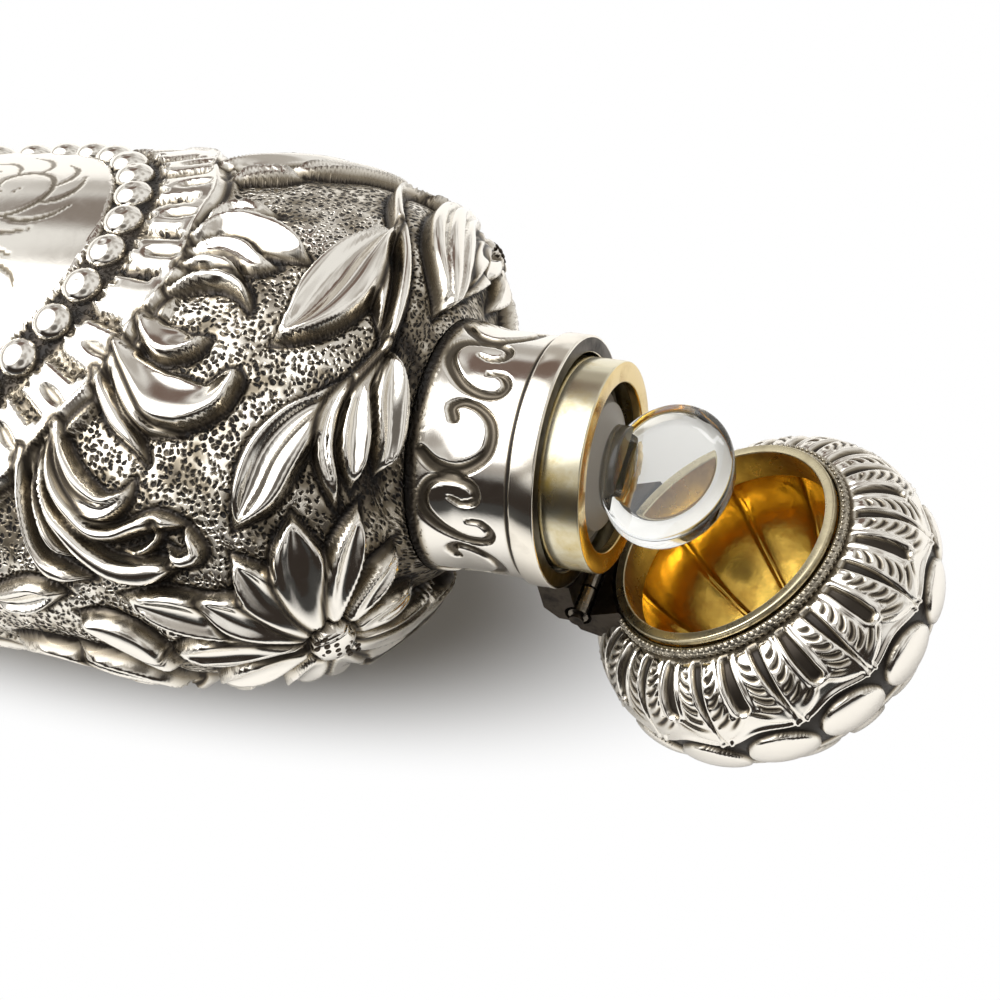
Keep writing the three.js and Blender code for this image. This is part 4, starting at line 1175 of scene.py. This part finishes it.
def run_tree(tree, mesh, sizes, material):
    """Runs a geometry tree on a mesh with these sizes and gives back the plain mesh that it makes."""
    holder = bpy.data.objects.new("holder", mesh)
    bpy.context.scene.collection.objects.link(holder)
    modifier = holder.modifiers.new("tree", "NODES")
    modifier.node_group = tree
    sockets = {item.name: item.identifier for item in tree.interface.items_tree if item.in_out == "INPUT"}
    for size, value in {**sizes, "Material": material}.items():
        modifier[sockets[size]] = value
    depsgraph = bpy.context.evaluated_depsgraph_get()
    made = bpy.data.meshes.new_from_object(holder.evaluated_get(depsgraph))
    bpy.data.objects.remove(holder)
    return made


def bead_tree():
    """A bead on each point, standing on the point's facing, with a small dimple in its top."""
    sizes = {"Radius": 0.0016, "Squash": 0.8, "Dimple": 0.0003, "Dimple Width": 0.0004}
    tree, start, end = new_tree("beads", sizes)
    size = start.outputs
    ball = add(tree, "MeshUVSphere", {"Segments": 28, "Rings": 20, "Radius": size["Radius"]})
    parts = add(tree, "SeparateXYZ", [add(tree, "InputPosition")])
    square = add(tree, "Math", [parts, parts], operation="MULTIPLY")
    squares = add(tree, "Math", [parts.outputs[1], parts.outputs[1], square], operation="MULTIPLY_ADD")
    radius = add(tree, "Math", [squares], operation="SQRT")
    inner = add(tree, "MapRange", [radius, 0.0, size["Dimple Width"], 1.0, 0.0], **SOFT)
    depth = add(tree, "Math", [inner, size["Dimple"]], operation="MULTIPLY")
    down = add(tree, "Math", [depth, -1.0], operation="MULTIPLY")
    upper = add(tree, "Compare", [parts.outputs[2], 0.0], operation="GREATER_THAN", data_type="FLOAT")
    offset = add(tree, "CombineXYZ", {2: down})
    dimpled = add(tree, "SetPosition", {"Geometry": ball, "Selection": upper, "Offset": offset})
    scale = add(tree, "CombineXYZ", [1.0, 1.0, size["Squash"]])
    flat = add(tree, "Transform", {"Geometry": dimpled, "Scale": scale})
    facing = add(tree, "InputNamedAttribute", {"Name": "facing"}, data_type="FLOAT_VECTOR")
    turned = add(tree, "AlignRotationToVector", {"Vector": facing}, axis="Z")
    placed = add(tree, "InstanceOnPoints", {"Points": start, "Instance": flat, "Rotation": turned})
    real = add(tree, "RealizeInstances", {"Geometry": placed})
    soft = add(tree, "SetShadeSmooth", {"Geometry": real})
    painted = add(tree, "SetMaterial", {"Geometry": soft, "Material": size["Material"]})
    tree.links.new(painted.outputs[0], end.inputs["Geometry"])
    return tree


def points_mesh(groups):
    """Loose points in the row frame with the way that each faces, from groups of both."""
    points, facing = (np.concatenate(kind) for kind in zip(*groups))
    mesh = bpy.data.meshes.new("points")
    mesh.vertices.add(len(points))
    mesh.vertices.foreach_set("co", to_row(points).astype(np.float32).ravel())
    held = mesh.attributes.new("facing", "FLOAT_VECTOR", "POINT").data
    held.foreach_set("vector", (facing @ AXES).astype(np.float32).ravel())
    return mesh


def case_points(places, levels, turned):
    """Points over the case at (across, along) places, and the way that the case faces there."""
    points, facing = [], []
    for (across, along), level in zip(places, np.broadcast_to(levels, len(places))):
        turn = turn_at(across, along, turned)
        normal = case_normals(turn, np.array(along))
        points.append(case_surface(turn, np.array(along)) + normal * level)
        facing.append(normal)
    return np.array(points), np.array(facing)


def ring_places(centre, radius, count, start, way):
    """Places evenly round a centre on the case, from a start and to one way round."""
    turns = [start + way * 2 * math.pi * k / count for k in range(count)]
    return [(centre[0] + radius * math.sin(t), centre[1] + radius * math.cos(t)) for t in turns]


# Beads round the plate, on the front and on the back, sunk to their middles in the strip under them
FRONT_BEAD_LEVEL, BACK_BEAD_LEVEL = -0.42, -0.46 - BACK_DROP
bead_places = ring_places(PLATE_CENTRE, BEAD_RING, BEAD_COUNT, math.pi, -1)
stands = [case_points(bead_places, FRONT_BEAD_LEVEL, False), case_points(bead_places, BACK_BEAD_LEVEL, True)]
sizes = {"Radius": BEAD_RADIUS * MM, "Squash": 0.72, "Dimple": 0.16 * MM, "Dimple Width": 0.42 * MM}
bead = bead_tree()
beads = run_tree(bead, points_mesh(stands), sizes, silver)
new_piece("plate_beads", beads, None, "flask")

# Dots in the flower's button: one, six and ten
dots, tops = [], []
for radius, count in ((0.0, 1), (0.62, 6), (1.15, 10)):
    dots += ring_places(FLOWER_CENTRE, radius, count, radius, 1)
    tops += [BUTTON_LEVEL + BUTTON_RISE * math.sqrt(1 - (radius / BUTTON_HALF) ** 2) - 0.04] * count
stands = [case_points(dots, tops, turned) for turned in (False, True)]
sizes = {"Radius": 0.25 * MM, "Squash": 0.5, "Dimple": 0.1 * MM, "Dimple Width": 0.18 * MM}
punched = run_tree(bead, points_mesh(stands), sizes, oxidised)
new_piece("flower_dots", punched, None, "flask")


def wire_tree():
    """A round wire bent to a ring, with three rows of grains milled round it."""
    sizes = {"Ring Radius": 0.0102, "Wire Radius": 0.0004, "Grains": 120, "Grain": 0.0003}
    tree, start, end = new_tree("milled wire", sizes)
    size = start.outputs
    ring = add(tree, "CurvePrimitiveCircle", {"Radius": size["Ring Radius"], "Resolution": 160})
    section = add(tree, "CurvePrimitiveCircle", {"Radius": size["Wire Radius"], "Resolution": 10})
    core = add(tree, "CurveToMesh", {"Curve": ring, "Profile Curve": section})
    grain = add(tree, "MeshUVSphere", {"Segments": 8, "Rings": 5, "Radius": size["Grain"]})
    joined = add(tree, "JoinGeometry")
    tree.links.new(core.outputs[0], joined.inputs[0])
    for row in (-1.0, 0.0, 1.0):
        points = add(tree, "CurveToPoints", {"Curve": ring, "Count": size["Grains"]})
        unit = add(tree, "VectorMath", [add(tree, "InputPosition")], operation="NORMALIZE")
        spread = add(tree, "Math", [size["Wire Radius"], 0.75 if row == 0 else 0.42], operation="MULTIPLY")
        sideways = add(tree, "VectorMath", {0: unit, "Scale": spread}, operation="SCALE")
        raised = add(tree, "Math", [size["Wire Radius"], 0.8 * row], operation="MULTIPLY")
        lift = add(tree, "CombineXYZ", {2: raised})
        offset = add(tree, "VectorMath", [sideways, lift], operation="ADD")
        moved = add(tree, "SetPosition", {"Geometry": points, "Offset": offset})
        facing = add(tree, "AlignRotationToVector", {"Vector": unit}, axis="X")
        leaned = add(tree, "RotateRotation", [facing, (0.6, 0.0, 0.0)], rotation_space="LOCAL")
        placed = add(
            tree, "InstanceOnPoints",
            {"Points": moved, "Instance": grain, "Rotation": leaned, "Scale": (0.75, 0.7, 1.0)},
        )
        tree.links.new(placed.outputs[0], joined.inputs[0])
    real = add(tree, "RealizeInstances", {"Geometry": joined})
    soft = add(tree, "SetShadeSmooth", {"Geometry": real})
    painted = add(tree, "SetMaterial", {"Geometry": soft, "Material": size["Material"]})
    tree.links.new(painted.outputs[0], end.inputs["Geometry"])
    return tree


def moved_into_cap(mesh, height):
    """Puts a mesh made round the origin, in metres, on the cap's axis at a height in mm."""
    c, s = math.cos(CAP_OPEN), math.sin(CAP_OPEN)
    x, z = np.array([c, 0, -s]), np.array([s, 0, c])
    turn = np.stack([x @ AXES, AXES[1], z @ AXES, in_cap([0.0, 0.0, height])], 1)
    mesh.transform(Matrix([*turn.tolist(), [0, 0, 0, 1]]))
    return mesh


sizes = {"Ring Radius": CAP_WIRE_MIDDLE * MM, "Wire Radius": 0.42 * MM, "Grains": 116, "Grain": 0.26 * MM}
wire = run_tree(wire_tree(), bpy.data.meshes.new("empty"), sizes, milled_silver)
wire = moved_into_cap(wire, (CAP_RIM_THICKNESS + CAP_SHELL_START) / 2)
new_piece("cap_wire_milled", wire, None, "cap", ("cap_wire",))


# Hinge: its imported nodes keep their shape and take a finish
blocks = ("neck_hinge_block", "cap_hinge_block", "hinge_pin")
knuckles = ("neck_knuckle_1", "neck_knuckle_2", "neck_knuckle_3", "cap_knuckle_1", "cap_knuckle_2")
for name in blocks + knuckles:
    for slot in frame["nodes"][name].material_slots:
        slot.material = oxidised if name in blocks else worn_silver

# Studio: pale floor, white tent with a window, one soft box, and the camera on the flask's own axes in mm
CAMERA_PLACE = np.array([-130.81, -96.9, 54.1])
CAMERA_RIGHT = np.array([0.19167, 0.32171, 0.92723])
CAMERA_DOWN = np.array([0.61268, -0.77728, 0.14304])
LENS, SENSOR_WIDTH = 79.2, 36.0
camera_data = bpy.data.cameras.new("camera")
camera_data.lens, camera_data.sensor_width = LENS, SENSOR_WIDTH
camera_data.clip_start, camera_data.clip_end = 0.01, 10
camera = bpy.data.objects.new("camera", camera_data)
bpy.context.scene.collection.objects.link(camera)
right, down = CAMERA_RIGHT @ AXES, CAMERA_DOWN @ AXES
turn = np.stack([right, -down, -np.cross(right, down), to_row(CAMERA_PLACE)], 1)
camera.matrix_world = Matrix([*turn.tolist(), [0, 0, 0, 1]])
bpy.context.scene.camera = camera


def way(azimuth, elevation):
    """A direction in the row frame, from degrees."""
    a, e = math.radians(azimuth), math.radians(elevation)
    return (math.cos(e) * math.cos(a), math.cos(e) * math.sin(a), math.sin(e))


# Floor: its reach and the painted shade on it in metres, and the azimuth of its front in degrees
FLOOR_REACH = 3.0
FRONT_AZIMUTH = -75
PAINTED_SHADE_CENTRE, PAINTED_SHADE_RADII = (-0.022, 0.0, 0.0), (0.045, 0.014, 1.0)
BLACK, WHITE = (0.0, 0.0, 0.0, 1.0), (1.0, 1.0, 1.0, 1.0)
floor_mesh = bpy.data.meshes.new("floor")
corners = [(x * FLOOR_REACH, y * FLOOR_REACH, 0) for x, y in ((-1, -1), (1, -1), (1, 1), (-1, 1))]
floor_mesh.from_pydata(corners, [], [(0, 1, 2, 3)])
floor = bpy.data.objects.new("floor", floor_mesh)
bpy.context.scene.collection.objects.link(floor)
floor_finish, tree = new_material("white paper sweep")
# Painted reflection: only glossy rays see the paper fade to black towards the photographer, 50 to 150 mm in
# front
place = add(tree, "TexCoord").outputs["Object"]
front = add(tree, "VectorMath", [place, way(FRONT_AZIMUTH, 0)], operation="DOT_PRODUCT")
painted_reflection_fade = add(tree, "MapRange", [front, 0.05, 0.15, 0.0, 0.95], **SOFT)
path = add(tree, "LightPath")
painted_dark_reflection = add(tree, "Math", [path.outputs["Is Glossy Ray"], painted_reflection_fade], operation="MULTIPLY")
to_camera = path.outputs["Is Camera Ray"]
# Painted shade: the camera sees a darker copy of the paper than the light that the paper bounces
seen = add(tree, "Mix", {0: to_camera, 6: srgb("#F2F1EF"), 7: srgb("#B4B1AC")}, data_type="RGBA")
tone = add(tree, "Mix", {0: painted_dark_reflection, 6: seen, 7: BLACK}, data_type="RGBA")
paper = add(tree, "BsdfDiffuse", {"Color": tone})
# Painted shadow: in an ellipse round the flask the camera sees the darker paper with its real shadow, then
# white
from_flask = add(tree, "VectorMath", [place, PAINTED_SHADE_CENTRE], operation="SUBTRACT")
spread = add(tree, "VectorMath", [from_flask, PAINTED_SHADE_RADII], operation="DIVIDE")
reach = add(tree, "VectorMath", [spread], operation="LENGTH")
clear = add(tree, "MapRange", [reach, 1.04, 1.7, 0.0, 1.0], **SOFT)
white_past_painted_shade = add(tree, "Math", [to_camera, clear], operation="MULTIPLY")
white = add(tree, "Emission", {"Color": WHITE, "Strength": 1.0})
both = add(tree, "MixShader", [white_past_painted_shade, paper, white])
add(tree, "OutputMaterial", {"Surface": both})
floor_mesh.materials.append(floor_finish)

world = bpy.data.worlds.new("studio")
bpy.context.scene.world = world
world.use_nodes = True
tree = world.node_tree
tree.nodes.clear()
place = add(tree, "TexCoord").outputs["Generated"]


def toward(direction, full, none):
    """1 within one angle of a direction, 0 beyond another, in degrees."""
    dot = add(tree, "VectorMath", [place, Vector(direction).normalized()], operation="DOT_PRODUCT")
    near, far = math.cos(math.radians(full)), math.cos(math.radians(none))
    return add(tree, "MapRange", [dot, far, near, 0.0, 1.0], **SOFT)


# A white tent with one large soft window above and to the left; it is dark low down in front, where the
# photographer stands, round the camera itself, and behind the window's frame
WINDOW_LIGHT = 2.3
height = add(tree, "SeparateXYZ", [place]).outputs[2]
low = add(tree, "MapRange", [height, 0.3, 0.55, 1.0, 0.0], **SOFT)
in_front = add(tree, "Math", [toward(way(FRONT_AZIMUTH, 0), 58, 72), low], operation="MULTIPLY")
room = add(tree, "TexNoise", {"Vector": place, "Scale": 2.4, "Detail": 1.0})
shade = add(tree, "MapRange", [room, 0.42, 0.62, 0.0, 0.75], **SOFT)
tone = srgb("#EFEEEC")
tent_parts = [
    (shade, srgb("#9C948C")),
    (toward(way(121, 35), 8, 15), srgb("#75645C")),
    (toward(way(127, 16), 4, 10), srgb("#8A817A")),
    (toward(CAMERA_PLACE @ AXES, 10, 20), srgb("#6A6560")),
    (in_front, srgb("#332D29")),
    (toward(way(-172, 48), 32, 42), (WINDOW_LIGHT, WINDOW_LIGHT, WINDOW_LIGHT, 1.0)),
]
for share, colour in tent_parts:
    tone = add(tree, "Mix", {0: share, 6: tone, 7: colour}, data_type="RGBA")
path = add(tree, "LightPath")
to_camera, through_glass = path.outputs["Is Camera Ray"], path.outputs["Is Transmission Ray"]
seen = add(tree, "Math", [to_camera, through_glass], operation="MAXIMUM")
tent = add(tree, "Background", {"Color": tone, "Strength": 1.0})
white = add(tree, "Background", {"Color": WHITE, "Strength": 1.0})
shader = add(tree, "MixShader", [seen, tent, white])
add(tree, "OutputWorld", {"Surface": shader})


# A square soft box above, which shines on the neck
LIGHT_PLACE, LIGHT_AIM = Vector((-0.42, -0.06, 0.5)), Vector((0.02, 0.0, 0.02))
LIGHT_SIZE, LIGHT_WATTS = 0.3, 1.5
light_data = bpy.data.lights.new("soft box above", "AREA")
light_data.shape, light_data.size, light_data.energy = "SQUARE", LIGHT_SIZE, LIGHT_WATTS
light = bpy.data.objects.new("soft box above", light_data)
bpy.context.scene.collection.objects.link(light)
light.location = LIGHT_PLACE
light.rotation_mode = "QUATERNION"
light.rotation_quaternion = (LIGHT_PLACE - LIGHT_AIM).to_track_quat("Z", "Y")

bpy.context.scene.view_settings.view_transform = "Standard"
